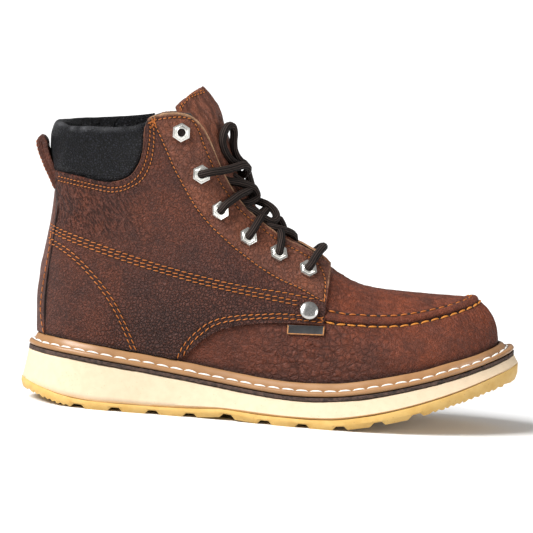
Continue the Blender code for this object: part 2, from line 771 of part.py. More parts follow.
def build_collar():
    """Padded collar that fills the scoop round the back of the ankle."""
    top = Track(*zip(*COLLAR_TOP))
    keys = np.linspace(0, 1, 12) ** 1.1 * COLLAR_END
    rows = [(k, -1) for k in keys[::-1]] + [(k, 1) for k in keys[1:]]
    edge_x, edge_z = zip(*SCOOP[3:])
    end_x = quarter.top(COLLAR_END)[0]
    points = []
    for key, side in rows:
        foot = quarter.point(key, 1.0, side)
        out = quarter.normal(key, 0.97, side) * (1, 1, 0)
        out /= np.linalg.norm(out)
        start = foot[2] + 0.5
        high = top(key) - start
        for reach, share in COLLAR_SECTION:
            lean = COLLAR_SPREAD + (COLLAR_LEAN - COLLAR_SPREAD) * (1 - key / COLLAR_END) ** 2
            x, y, _ = foot + out * (reach + lean * share**0.6)
            z = start + high * share
            forward = np.interp(z, edge_z, edge_x) - COLLAR_BACK - end_x
            points.append((x + forward * (key / COLLAR_END) ** 3, y, z))
    count = len(COLLAR_SECTION)
    faces = [
        (r * count + i, r * count + (i + 1) % count, (r + 1) * count + (i + 1) % count, (r + 1) * count + i)
        for r in range(len(rows) - 1)
        for i in range(count)
    ]
    for base in (0, (len(rows) - 1) * count):
        half = count // 2
        for i in range(half - 1):
            faces.append((base + i, base + i + 1, base + count - 2 - i, base + count - 1 - i))
    solid("collar", points, faces, BLACK)


class Tongue:
    """Middle line and cross sections of the tongue, and the way out of the throat."""

    def __init__(self):
        self.rise = Track(*zip(*TONGUE_RISE))

    def out(self, key):
        both = quarter.normal(key, 1.0, -1) + quarter.normal(key, 1.0, 1)
        both[1] = 0.0
        return both / np.linalg.norm(both)

    def edge(self, key, side, behind=0.0):
        """Place inside the quarter, at the throat's edge or some way behind it."""
        place = key, 1.0
        if behind:
            out = self.out(key)
            place = quarter.locate(*(quarter.top(key) - out[[0, 2]] * behind))
        return quarter.lifted(*place, side, -WALL - 1.5)

    def middle(self, key):
        return (self.edge(key, -1) + self.edge(key, 1)) / 2 + self.out(key) * self.rise(key)

    def sections(self):
        """Rows of five points from the outer edge to the inner one, and each row's way out."""
        rows = []
        for x, z, half, edge_x, edge_z in TONGUE_TOP:
            part = [x + (edge_x - x) * 0.3, 0.56 * half, z + (edge_z - z) * 0.3]
            side = [np.array([edge_x, half, edge_z]), np.array(part)]
            flip = np.array([1, -1, 1])
            rows.append([side[0] * flip, side[1] * flip, np.array([x, 0.0, z]), side[1], side[0]])
        for key, _ in TONGUE_RISE:
            flap = [self.edge(key, s, TONGUE_FLAP) for s in (-1, 1)]
            lip = [self.edge(key, s) for s in (-1, 1)]
            rows.append([flap[0], lip[0], self.middle(key), lip[1], flap[1]])
        for x, half in TONGUE_END:
            under = [(x, y, vamp.apron(x, y) - WALL - 1.8) for y in (-half, -half / 2, 0, half / 2, half)]
            rows.append([np.array(p) for p in under])
        return rows


tongue = Tongue()


def build_tongue():
    """Curved sheet that runs down the throat and ends under the apron."""
    cells = 9
    rows = [[path_track(row)(s) for s in np.linspace(0, 1, cells)] for row in tongue.sections()]
    sheet = Sheet()
    ids = [[sheet.add(p) for p in row] for row in rows]
    for before, after in zip(ids, ids[1:]):
        sheet.strip(before, after)
    normals = sheet.normals()
    if normals[ids[4][cells // 2]][0] < 0:
        normals = -normals
    outer = np.array(sheet.points)
    thick("tongue", outer, outer - normals * TONGUE, sheet.faces, BROWN)


def basis(normal, near):
    """Two directions square to a normal, the first leaning towards another direction."""
    first = near - normal * np.dot(near, normal)
    first /= np.linalg.norm(first)
    return first, np.cross(normal, first)


def build_metal():
    """Six sided eyelets down both sides of the throat, and a rivet below them."""
    corner = EYELET_FLATS / 2 / math.cos(math.pi / 6)
    lift = GAP + PANEL + 2 * GAP
    for number, (x, z) in enumerate(EYELETS, 1):
        key, share = quarter.locate(x, z)
        for name, side in (("outer", -1), ("inner", 1)):
            normal = quarter.normal(key, share, side)
            first, second = basis(normal, np.array([0.0, 0.0, 1.0]))
            centre = quarter.point(key, share, side)
            points = []
            hole, top = EYELET_HOLE / 2, lift + EYELET_THICK
            for height, reach in ((lift, corner), (top, corner), (top, hole), (lift, hole)):
                for turn in (math.pi / 3 * i for i in range(6)):
                    off = first * math.cos(turn) + second * math.sin(turn)
                    points.append(centre + normal * height + off * reach)
            faces = [
                (a * 6 + i, a * 6 + (i + 1) % 6, (a + 1) % 4 * 6 + (i + 1) % 6, (a + 1) % 4 * 6 + i)
                for a in range(4)
                for i in range(6)
            ]
            solid(f"eyelet_{name}_{number}", points, faces, STEEL)

    key, share = quarter.locate(*RIVET_AT)
    for name, side in (("outer", -1), ("inner", 1)):
        normal = quarter.normal(key, share, side)
        first, second = basis(normal, np.array([0.0, 0.0, 1.0]))
        centre = quarter.lifted(key, share, side, lift)
        profile = ((1.0, 0.0), (1.0, 0.35), (0.72, 0.75), (0.36, 0.95))
        around = [first * math.cos(math.pi / 7 * i) + second * math.sin(math.pi / 7 * i) for i in range(14)]
        points = [
            centre + normal * RIVET_HIGH * high + way * RIVET_WIDE / 2 * wide
            for wide, high in profile
            for way in around
        ]
        faces = [
            (a * 14 + i, a * 14 + (i + 1) % 14, (a + 1) * 14 + (i + 1) % 14, (a + 1) * 14 + i)
            for a in range(3)
            for i in range(14)
        ]
        faces += [tuple(range(14)), tuple(range(42, 56))]
        solid(f"rivet_{name}", points, faces, STEEL)


def build_label():
    """Plain tag on the outer side, under the edge of the quarter."""
    places = [
        [quarter.locate(x, z) for z in np.linspace(*LABEL_Z, 3)] for x in np.linspace(*LABEL_X, 6)
    ]
    layers = [
        [quarter.lifted(key, share, -1, h) for row in places for key, share in row]
        for h in (GAP + LABEL_THICK, GAP)
    ]
    thick("label", *layers, grid_faces(6, 3), BLACK)


def build_pull_loop():
    """Strap folded over at the back of the collar."""
    track = path_track(LOOP_LINE)
    line = np.array([track(s) for s in np.linspace(0, 1, 18)])
    along = np.gradient(line, axis=0)
    along /= np.linalg.norm(along, axis=1)[:, None]
    off = np.stack([-along[:, 1], along[:, 0]], axis=1) * LOOP_THICK / 2
    outline = [*(line + off), *(line - off)[::-1]]
    count = len(outline)
    points = [(x, y, z) for y in (-LOOP_WIDE / 2, LOOP_WIDE / 2) for x, z in outline]
    faces = [(i, (i + 1) % count, count + (i + 1) % count, count + i) for i in range(count)]
    for base in (0, count):
        faces += [
            (base + i, base + i + 1, base + count - 2 - i, base + count - 1 - i)
            for i in range(count // 2 - 1)
        ]
    solid("pull_loop", points, faces, BROWN)


def tube(name, points, steps, finish, sides=6, wide=LACE):
    """Round cord along a smooth path, closed at both ends."""
    track = path_track(points)
    line = np.array([track(s) for s in np.linspace(0, 1, steps)])
    along = np.gradient(line, axis=0)
    along /= np.linalg.norm(along, axis=1)[:, None]
    first = basis(along[0], np.array([0.3, 0.2, 1.0]))[0]
    rings = []
    for at, way in zip(line, along):
        first = first - way * np.dot(first, way)
        first /= np.linalg.norm(first)
        second = np.cross(way, first)
        turns = [math.tau * (i + 0.5) / sides for i in range(sides)]
        rings += [at + (first * math.cos(t) + second * math.sin(t)) * wide / 2 for t in turns]
    faces = [
        (r * sides + i, r * sides + (i + 1) % sides, (r + 1) * sides + (i + 1) % sides, (r + 1) * sides + i)
        for r in range(steps - 1)
        for i in range(sides)
    ]
    faces += [tuple(range(sides)), tuple(range((steps - 1) * sides, steps * sides))]
    return solid(name, rings, faces, finish)


def joined(first, second):
    """One solid from two that cross."""
    union = first.modifiers.new("join", "BOOLEAN")
    union.operation, union.solver, union.object = "UNION", "EXACT", second
    second.hide_render = True
    second.display_type = "WIRE"


def build_lace():
    """Bar and crossings over the throat, and the bow tied on top of them."""
    lift = GAP + PANEL + LACE / 2 + 1.1
    edges = [quarter.throat_key(x, z) for x, z in EYELETS]

    def over(key, height, along_y=0.0):
        """Place above the middle of the tongue."""
        return tongue.middle(key) + tongue.out(key) * height + np.array([0.0, along_y, 0.0])

    def tucked(key, side, along):
        """Place on the tongue, part of the way from its middle to one edge of the throat."""
        start, end = over(key, LACE / 2 + 1.4), quarter.lifted(key, 1.0, side, LACE / 2 - 0.4)
        return start + (end - start) * along

    def leaving(number, side, height=lift):
        """Start beside an eyelet, then the way over the edge of the throat."""
        away = np.array(EYELETS[number - 1]) * 0.58 + quarter.top(edges[number - 1]) * 0.42
        near = quarter.lifted(*quarter.locate(*away), side, height + 1.7)
        return [near, quarter.lifted(edges[number - 1], 1.0, side, height)]

    low = LACE / 2 + 0.9
    bar = [leaving(1, side, lift - 0.5) for side in (-1, 1)]
    tube("lace_bar", [*bar[0], over(edges[0], low + 1.6), *bar[1][::-1]], 15, CORD)
    for name, number in (("low", 2), ("mid", 3), ("high", 4)):
        here, there = edges[number - 1], edges[number]
        strands = []
        for side in (-1, 1):
            end = tucked(there + 0.42 * (here - there), -side, 0.6)
            way = [*leaving(number, side), over((here + there) / 2 + 0.02, low), end]
            strands.append(tube(f"lace_cross_{name}" + ("_b" if side > 0 else ""), way, 12, CORD))
        joined(*strands)

    out = tongue.out(KNOT_KEY)
    up, across = np.array([-out[2], 0.0, out[0]]), np.array([0.0, 1.0, 0.0])
    centre = over(KNOT_KEY, KNOT_HIGH)
    for name, side in (("outer", -1), ("inner", 1)):
        way = [*leaving(5, side), centre + across * side * (KNOT_SIZE[1] + LACE * 0.5 + 3) + up * 1.5 - out]
        way.append(centre + across * side * (KNOT_SIZE[1] + 0.4))
        tube(f"lace_tie_{name}", way, 10, CORD)
    points, faces, sides = [], [], 10
    for level in range(1, 6):
        tilt = math.pi * level / 6
        for turn in (math.tau * i / sides for i in range(sides)):
            ring = up * KNOT_SIZE[0] * math.cos(turn) + across * KNOT_SIZE[1] * math.sin(turn)
            points.append(centre + ring * math.sin(tilt) + out * KNOT_SIZE[2] * math.cos(tilt))
    for base in (level * sides for level in range(4)):
        for i in range(sides):
            j = (i + 1) % sides
            faces.append((base + i, base + j, base + sides + j, base + sides + i))
    faces += [tuple(range(sides)), tuple(range(4 * sides, 5 * sides))]
    solid("lace_knot", points, faces, CORD)

    for name, rows in (("lace_loop_up", LOOP_UP), ("lace_loop_down", LOOP_DOWN)):
        tube(name, [over(key, high, y) for key, y, high in rows], 21, CORD)
    for name, rows in (("lace_end_long", END_LONG), ("lace_end_short", END_SHORT)):
        start = [over(rows[0][0], rows[0][2], rows[0][1])]
        tube(name, start + [quarter.lifted(key, share, 1, h) for key, share, h in rows[1:]], 10, CORD)


def build_boot():
    for old in list(bpy.data.objects):
        bpy.data.objects.remove(old)
    build_sole()
    build_upper()
    build_quarters()
    build_collar()
    build_tongue()
    build_pull_loop()
    build_label()
    build_metal()
    build_lace()


build_boot()
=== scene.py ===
"""Looks of the moc toe work boot: leather, thread, metal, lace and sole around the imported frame.

Tables are in millimetres. The toe points along +X, the outer side of the foot along -Y, up is +Z.
"""

import logging
import math
from dataclasses import dataclass
from enum import Enum

import bpy
import numpy as np
from mathutils import Matrix, Vector
from mathutils.bvhtree import BVHTree
from mathutils.kdtree import KDTree


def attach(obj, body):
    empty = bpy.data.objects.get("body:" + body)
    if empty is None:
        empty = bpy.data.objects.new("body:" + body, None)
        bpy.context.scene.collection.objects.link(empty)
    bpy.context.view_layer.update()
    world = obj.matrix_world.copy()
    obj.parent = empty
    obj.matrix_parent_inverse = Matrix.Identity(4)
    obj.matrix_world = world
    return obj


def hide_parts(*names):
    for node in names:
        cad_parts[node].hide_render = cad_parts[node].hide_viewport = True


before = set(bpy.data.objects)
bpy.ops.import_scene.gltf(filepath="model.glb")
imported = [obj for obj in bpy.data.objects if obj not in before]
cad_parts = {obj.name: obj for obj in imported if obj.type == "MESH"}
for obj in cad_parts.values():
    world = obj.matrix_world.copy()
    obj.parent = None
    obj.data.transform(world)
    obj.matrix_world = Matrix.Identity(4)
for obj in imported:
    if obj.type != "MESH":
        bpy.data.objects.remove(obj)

MM = 0.001
# In metres: where a ray across the boot starts, and how far past the middle it may end
FAR_OUT = 0.2
PAST_MIDDLE = 0.01
Colour = tuple[float, float, float]
Table = tuple[tuple[float, ...], ...]
Line = tuple[np.ndarray, np.ndarray]
log = logging.getLogger("boot")


class Side(Enum):
    """The two sides of the boot, by the sign of Y."""

    OUTER = -1
    INNER = 1


class Tint(Enum):
    """The threads that the boot is sewn with."""

    ORANGE = "thread"
    BOLD = "bold"
    WHITE = "white"


class Layer(Enum):
    """Which layer of a thin CAD shell is wanted."""

    OUTSIDE = 1
    INSIDE = -1


# Modelling helpers


def focus(obj: bpy.types.Object) -> None:
    """Leaves edit mode and makes one object the only selected and active one.

    Args:
        obj: The object to work on.
    """
    if bpy.context.object and bpy.context.object.mode != "OBJECT":
        bpy.ops.object.mode_set(mode="OBJECT")
    bpy.ops.object.select_all(action="DESELECT")
    obj.select_set(True)
    bpy.context.view_layer.objects.active = obj


def edit(obj: bpy.types.Object, mode: str = "VERT") -> None:
    """Opens an object for editing with nothing selected.

    Args:
        obj: The object to edit.
        mode: VERT, EDGE or FACE.
    """
    focus(obj)
    bpy.ops.object.mode_set(mode="EDIT")
    bpy.ops.mesh.select_mode(type=mode)
    bpy.ops.mesh.select_all(action="DESELECT")


def leave() -> None:
    """Goes back to object mode."""
    bpy.ops.object.mode_set(mode="OBJECT")


def modify(obj: bpy.types.Object, kind: str, **settings: object) -> None:
    """Adds a modifier and applies it.

    Args:
        obj: The object that gets it.
        kind: Blender's name for the modifier's type.
        **settings: The modifier's own settings.
    """
    made = obj.modifiers.new(kind.title(), kind)
    for key, value in settings.items():
        setattr(made, key, value)
    focus(obj)
    bpy.ops.object.modifier_apply(modifier=made.name)


def subdivide(obj: bpy.types.Object, levels: int) -> None:
    """Rounds a mesh by subdivision, keeping the corners of open edges.

    Args:
        obj: The object to round.
        levels: How many times each face is split.
    """
    modify(obj, "SUBSURF", levels=levels, render_levels=levels, boundary_smooth="PRESERVE_CORNERS")


def crease(obj: bpy.types.Object, degrees: float, weight: float) -> None:
    """Holds the sharp edges of a mesh for a later subdivision.

    Args:
        obj: The object.
        degrees: Edges that turn by more than this are held.
        weight: How firmly, from 0 to 1.
    """
    edit(obj, "EDGE")
    bpy.ops.mesh.edges_select_sharp(sharpness=math.radians(degrees))
    bpy.ops.transform.edge_crease(value=weight)
    leave()


def new_object(name: str, mesh: bpy.types.Mesh) -> bpy.types.Object:
    """Puts a mesh into the scene as an object at the origin.

    Args:
        name: The piece's name.
        mesh: Its mesh.

    Returns:
        The new object.
    """
    obj = bpy.data.objects.new(name, mesh)
    bpy.context.scene.collection.objects.link(obj)
    return obj


def copy_of(node: str, name: str) -> bpy.types.Object:
    """Copies a CAD node as one joined mesh of quads.

    Args:
        node: The CAD node.
        name: The new piece's name.

    Returns:
        The copy.
    """
    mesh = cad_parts[node].data.copy()
    mesh.name = name
    mesh.materials.clear()
    obj = new_object(name, mesh)
    edit(obj)
    bpy.ops.mesh.select_all(action="SELECT")
    bpy.ops.mesh.customdata_custom_splitnormals_clear()
    bpy.ops.mesh.remove_doubles(threshold=1e-5)
    bpy.ops.mesh.tris_convert_to_quads(face_threshold=1.2, shape_threshold=1.2)
    leave()
    for attribute in ("sharp_edge", "sharp_face"):
        if attribute in obj.data.attributes:
            obj.data.attributes.remove(obj.data.attributes[attribute])
    return obj


def read(obj: bpy.types.Object, what: str = "co") -> np.ndarray:
    """Reads a mesh's points in millimetres, or its point normals.

    Args:
        obj: The object.
        what: co for points, normal for normals.

    Returns:
        An array of three columns.
    """
    mesh = obj.data
    out = np.empty(len(mesh.vertices) * 3, np.float32)
    if what == "co":
        mesh.vertices.foreach_get("co", out)
        return out.reshape(-1, 3).astype(float) / MM
    mesh.vertex_normals.foreach_get("vector", out)
    return out.reshape(-1, 3).astype(float)


def write(obj: bpy.types.Object, points: np.ndarray) -> None:
    """Moves a mesh's points.

    Args:
        obj: The object.
        points: New places in millimetres.
    """
    obj.data.vertices.foreach_set("co", (points * MM).astype(np.float32).ravel())
    obj.data.update()


def face_data(obj: bpy.types.Object) -> tuple[np.ndarray, np.ndarray]:
    """Reads the middle of each face in millimetres and its normal.

    Args:
        obj: The object.

    Returns:
        Two arrays of three columns.
    """
    faces = obj.data.polygons
    middle, normal = np.empty(len(faces) * 3, np.float32), np.empty(len(faces) * 3, np.float32)
    faces.foreach_get("center", middle)
    faces.foreach_get("normal", normal)
    return middle.reshape(-1, 3).astype(float) / MM, normal.reshape(-1, 3).astype(float)


def edit_faces(obj: bpy.types.Object, chosen: np.ndarray) -> None:
    """Opens an object for editing with some of its faces selected.

    Args:
        obj: The object to edit.
        chosen: One true or false for each face.
    """
    edit(obj, "FACE")
    leave()
    obj.data.polygons.foreach_set("select", chosen)
    bpy.ops.object.mode_set(mode="EDIT")


def keep_faces(obj: bpy.types.Object, wanted: np.ndarray) -> None:
    """Deletes every face but the wanted ones.

    Args:
        obj: The object.
        wanted: One true or false for each face.
    """
    edit_faces(obj, ~wanted)
    bpy.ops.mesh.delete(type="FACE")
    leave()


def bevel(obj: bpy.types.Object, wide: float, segments: int, degrees: float) -> None:
    """Rounds the sharp edges of a piece.

    Args:
        obj: The piece.
        wide: Width of the rounding in millimetres.
        segments: How many faces it has across.
        degrees: Edges that turn by more than this are rounded.
    """
    modify(obj, "BEVEL", width=wide * MM, segments=segments, limit_method="ANGLE",
           angle_limit=math.radians(degrees))


def ramp(values: np.ndarray, start: float, end: float) -> np.ndarray:
    """Rises evenly from 0 to 1 between two values.

    Args:
        values: What is looked at.
        start: Where the share is still 0.
        end: Where it is 1, above or below the start.

    Returns:
        Shares from 0 to 1.
    """
    return np.clip((values - start) / (end - start), 0, 1)


def hump(values: np.ndarray, wide: float, power: int = 2) -> np.ndarray:
    """Falls softly from 1 on either side of 0.

    Args:
        values: Distances.
        wide: Half the width of the hump.
        power: 2 for a round hump, more for one with a flat top.

    Returns:
        Shares from 0 to 1.
    """
    return np.exp(-((values / wide) ** power))


def outward_share(middle: np.ndarray, normal: np.ndarray) -> np.ndarray:
    """Tells how far each face looks away from the core of the foot.

    Args:
        middle: Middles of faces in millimetres.
        normal: Their normals.

    Returns:
        1 for a face that looks straight out, -1 for one that looks straight in.
    """
    heel_core, toe_core, toe_height, toe_inward = -110, 95, 45, 5.5
    core = middle.copy()
    core[:, 0] = np.clip(middle[:, 0], heel_core, toe_core)
    core[:, 1] = np.clip((middle[:, 0] - 60) / 10, 0, toe_inward)
    toe = ramp(middle[:, 0], 0, 30)
    core[:, 2] = middle[:, 2] * (1 - toe) + toe_height * toe
    away = middle - core
    away /= np.maximum(np.linalg.norm(away, axis=1), 1e-6)[:, None]
    return (away * normal).sum(1)


def layer_of(node: str, name: str, layer: Layer) -> bpy.types.Object:
    """Copies one layer of a CAD shell as an open sheet.

    Args:
        node: The CAD node.
        name: The new piece's name.
        layer: The outer or the inner layer.

    Returns:
        The sheet.
    """
    obj = copy_of(node, name)
    keep_faces(obj, outward_share(*face_data(obj)) * layer.value > 0.33)
    return obj


def smooth(obj: bpy.types.Object, degrees: float = 180.0) -> None:
    """Shades a piece smooth, apart from edges that turn by more than an angle.

    Args:
        obj: The piece.
        degrees: The angle.
    """
    focus(obj)
    if degrees >= 180:
        bpy.ops.object.shade_smooth()
    else:
        bpy.ops.object.shade_smooth_by_angle(angle=math.radians(degrees))


def dress(obj: bpy.types.Object, slot: str, *finishes: bpy.types.Material,
          node: str | tuple[str, ...] = ()) -> None:
    """Gives a piece its materials and ties it to the frame.

    Args:
        obj: The piece.
        slot: The record's material slot; not used.
        *finishes: Materials, the first one being the main one.
        node: The CAD node or nodes that the piece stands for.
    """
    obj.data.materials.clear()
    for finish in finishes:
        obj.data.materials.append(finish)
    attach(obj, "root")
    names = (node,) if isinstance(node, str) else node
    if names:
        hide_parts(*names)
    log.info("%s: %d faces", obj.name, len(obj.data.polygons))


def curve_through(rows: np.ndarray, step: float) -> np.ndarray:
    """Draws a smooth curve through rows of points.

    Args:
        rows: Two or three columns.
        step: Distance between the points of the curve.

    Returns:
        Points about one step apart, the first and last row among them.
    """
    rows = np.asarray(rows, float)
    if len(rows) < 3:
        count = max(2, int(np.linalg.norm(rows[-1] - rows[0]) / step))
        return rows[0] + (rows[-1] - rows[0]) * np.linspace(0, 1, count)[:, None]
    run = run_of(rows)
    spans = np.diff(run)
    rise = np.diff(rows, axis=0) / spans[:, None]
    slope = np.vstack([rise[:1], (rise[1:] * spans[:-1, None] + rise[:-1] * spans[1:, None])
                       / (spans[1:] + spans[:-1])[:, None], rise[-1:]])
    fine = np.linspace(0, run[-1], max(int(run[-1] / step * 3), 12))
    i = np.clip(np.searchsorted(run, fine, side="right") - 1, 0, len(rows) - 2)
    t, wide = ((fine - run[i]) / spans[i])[:, None], spans[i][:, None]
    points = ((1 + 2 * t) * (1 - t) ** 2 * rows[i] + t * (1 - t) ** 2 * wide * slope[i]
              + t * t * (3 - 2 * t) * rows[i + 1] + t * t * (t - 1) * wide * slope[i + 1])
    return evenly(points, step)


def run_of(points: np.ndarray) -> np.ndarray:
    """Measures the way along a line.

    Args:
        points: The line's points.

    Returns:
        The distance from the first point to each point.
    """
    return np.concatenate([[0.0], np.cumsum(np.linalg.norm(np.diff(points, axis=0), axis=1))])


def sample(at: np.ndarray, run: np.ndarray, values: np.ndarray) -> np.ndarray:
    """Reads places or directions along a line.

    Args:
        at: Distances along the line.
        run: Distance of each of its points.
        values: What is known at each point.

    Returns:
        One row for each distance.
    """
    return np.stack([np.interp(at, run, column) for column in values.T], axis=1)


def evenly(points: np.ndarray, step: float) -> np.ndarray:
    """Places points evenly along a line.

    Args:
        points: The line's own points.
        step: Distance between the new ones.

    Returns:
        The new points.
    """
    run = run_of(points)
    at = np.linspace(0, run[-1], max(2, round(run[-1] / step) + 1))
    return sample(at, run, points)


def ripple(points: np.ndarray, size: float, seed: int, count: int = 14) -> np.ndarray:
    """Makes soft unevenness, the same on every run.

    Args:
        points: Places in millimetres.
        size: Usual distance between two humps.
        seed: Picks one of many patterns.
        count: How many waves are added up.

    Returns:
        Heights of about -1 to 1.
    """
    random = np.random.default_rng(seed)
    ways = random.normal(size=(count, points.shape[1]))
    ways *= (math.tau / size * random.uniform(0.6, 1.4, count) / np.linalg.norm(ways, axis=1))[:, None]
    return np.sin(points @ ways.T + random.uniform(0, math.tau, count)).sum(1) / math.sqrt(count)


def tree_of(points: np.ndarray) -> KDTree:
    """Sorts points for finding the nearest one.

    Args:
        points: Places in millimetres.

    Returns:
        The sorted points.
    """
    tree = KDTree(len(points))
    for index, place in enumerate(points):
        tree.insert(place, index)
    tree.balance()
    return tree


def distance_to(points: np.ndarray, line: np.ndarray) -> np.ndarray:
    """Measures how far points are from a finely drawn line.

    Args:
        points: Places in millimetres.
        line: The line's points.

    Returns:
        One distance for each place.
    """
    tree = tree_of(line)
    return np.array([tree.find(p)[2] for p in points])


class Skin:
    """A surface that other pieces are laid on."""

    def __init__(self, *objs: bpy.types.Object) -> None:
        """Reads the surface of some pieces.

        Args:
            *objs: The pieces.
        """
        points, faces, base = [], [], 0
        for obj in objs:
            points += [v.co.copy() for v in obj.data.vertices]
            faces += [[base + i for i in p.vertices] for p in obj.data.polygons]
            base = len(points)
        self.tree = BVHTree.FromPolygons(points, faces)

    def across(self, x: float, z: float, side: Side) -> tuple[np.ndarray, np.ndarray] | None:
        """Finds the surface as seen square from one side.

        Args:
            x: Place along the boot in millimetres.
            z: Height in millimetres.
            side: The side it is seen from.

        Returns:
            The place and the normal, or None where there is nothing.
        """
        start = Vector((x * MM, side.value * FAR_OUT, z * MM))
        place, normal, _, _ = self.tree.ray_cast(start, Vector((0, -side.value, 0)))
        if place is None or place.y * side.value < -PAST_MIDDLE:
            return None
        return np.array(place) / MM, np.array(normal)

    def nearest(self, point: np.ndarray) -> tuple[np.ndarray, np.ndarray]:
        """Finds the place on the surface that is nearest to a point.

        Args:
            point: In millimetres.

        Returns:
            The place and the normal.
        """
        place, normal, _, _ = self.tree.find_nearest(Vector(point) * MM)
        return np.array(place) / MM, np.array(normal)

    def trace(self, rows: Table | np.ndarray, side: Side, step: float = 0.7) -> Line:
        """Draws a line of the side view on the surface.

        Args:
            rows: x and z of places on the line.
            side: The side it is drawn on.
            step: Distance between its points.

        Returns:
            The line's points and the normals there.
        """
        hits = [self.across(x, z, side) for x, z in curve_through(np.asarray(rows), step)]
        return settle([h for h in hits if h is not None])

    def lay(self, rows: Table | np.ndarray, step: float = 0.7) -> Line:
        """Draws a line in space on the surface.

        Args:
            rows: x, y and z of places near the surface.
            step: Distance between its points.

        Returns:
            The line's points and the normals there.
        """
        return settle([self.nearest(p) for p in curve_through(np.asarray(rows), step)])


def settle(hits: list[tuple[np.ndarray, np.ndarray]]) -> Line:
    """Turns single places on a surface into a line with calm normals.

    Args:
        hits: Places and normals in order.

    Returns:
        The line's points and the normals there.
    """
    if len(hits) < 2:
        return np.zeros((0, 3)), np.zeros((0, 3))
    points, normals = (np.array(part) for part in zip(*hits))
    for part in (points, normals, points, normals, points, normals):
        part[1:-1] = (part[:-2] + 2 * part[1:-1] + part[2:]) / 4
    return points, normals / np.linalg.norm(normals, axis=1)[:, None]


# Finishes


class Net:
    """A short way to place and join the nodes of one tree."""

    def __init__(self, tree: bpy.types.NodeTree) -> None:
        """Takes the tree to work in.

        Args:
            tree: A material's or a group's tree.
        """
        self.tree = tree

    def add(self, kind: str, inputs: dict[str | int, object] | None = None,
            **settings: object) -> bpy.types.Node:
        """Places a node.

        Args:
            kind: The node's type, without its ShaderNode prefix.
            inputs: Values or sockets for its inputs.
            **settings: The node's own settings.

        Returns:
            The node.
        """
        node = self.tree.nodes.new(f"ShaderNode{kind}")
        for key, value in settings.items():
            setattr(node, key, value)
        for key, value in (inputs or {}).items():
            self.feed(node.inputs[key], value)
        return node

    def feed(self, socket: bpy.types.NodeSocket, value: object) -> None:
        """Gives a socket a value or a link.

        Args:
            socket: The input.
            value: A number, a colour or an output socket.
        """
        if isinstance(value, bpy.types.NodeSocket):
            self.tree.links.new(value, socket)
        elif isinstance(value, tuple) and len(value) == 3 and socket.type == "RGBA":
            socket.default_value = (*value, 1.0)
        else:
            socket.default_value = value

    def math(self, operation: str, a: object, b: object = 0.0) -> bpy.types.NodeSocket:
        """Calculates with two values.

        Args:
            operation: Blender's name for it.
            a: A number or a socket.
            b: A number or a socket.

        Returns:
            The result.
        """
        return self.add("Math", {0: a, 1: b}, operation=operation).outputs[0]

    def blend(self, share: object, a: object, b: object, way: str = "MIX") -> bpy.types.NodeSocket:
        """Mixes two colours.

        Args:
            share: How much of the second.
            a: The first colour.
            b: The second colour.
            way: Blender's name for the way of mixing.

        Returns:
            The mixed colour.
        """
        return self.add("Mix", {0: share, 6: a, 7: b}, data_type="RGBA", blend_type=way).outputs[2]

    def remap(self, value: object, low: float, high: float,
              first: float = 0.0, last: float = 1.0) -> bpy.types.NodeSocket:
        """Stretches a range of values to another one, softly.

        Args:
            value: The value.
            low: Start of its range.
            high: End of its range.
            first: Result at the start.
            last: Result at the end.

        Returns:
            The result.
        """
        return self.add("MapRange", {0: value, 1: low, 2: high, 3: first, 4: last},
                        interpolation_type="SMOOTHSTEP").outputs[0]

    def noise(self, where: object, scale: object,
              detail: float = 2.0, rough: float = 0.5) -> bpy.types.NodeSocket:
        """Makes cloudy noise.

        Args:
            where: Coordinates.
            scale: Clouds in a metre.
            detail: How many finer layers it has.
            rough: How strong the finer layers are.

        Returns:
            A value of about 0 to 1.
        """
        inputs = {"Vector": where, "Scale": scale, "Detail": detail, "Roughness": rough}
        return self.add("TexNoise", inputs).outputs[0]


def group(name: str, inputs: dict[str, float],
          outputs: tuple[str, ...]) -> tuple[Net, bpy.types.Node, bpy.types.Node]:
    """Starts a node group with a vector input and named values.

    Args:
        name: The group's name.
        inputs: Names and usual values of its number inputs.
        outputs: Names of its number outputs.

    Returns:
        The net to build in, its input node and its output node.
    """
    tree = bpy.data.node_groups.new(name, "ShaderNodeTree")
    tree.interface.new_socket("Place", in_out="INPUT", socket_type="NodeSocketVector")
    for key, value in inputs.items():
        tree.interface.new_socket(key, in_out="INPUT", socket_type="NodeSocketFloat").default_value = value
    for key in outputs:
        tree.interface.new_socket(key, in_out="OUTPUT", socket_type="NodeSocketFloat")
    net = Net(tree)
    return net, net.tree.nodes.new("NodeGroupInput"), net.tree.nodes.new("NodeGroupOutput")


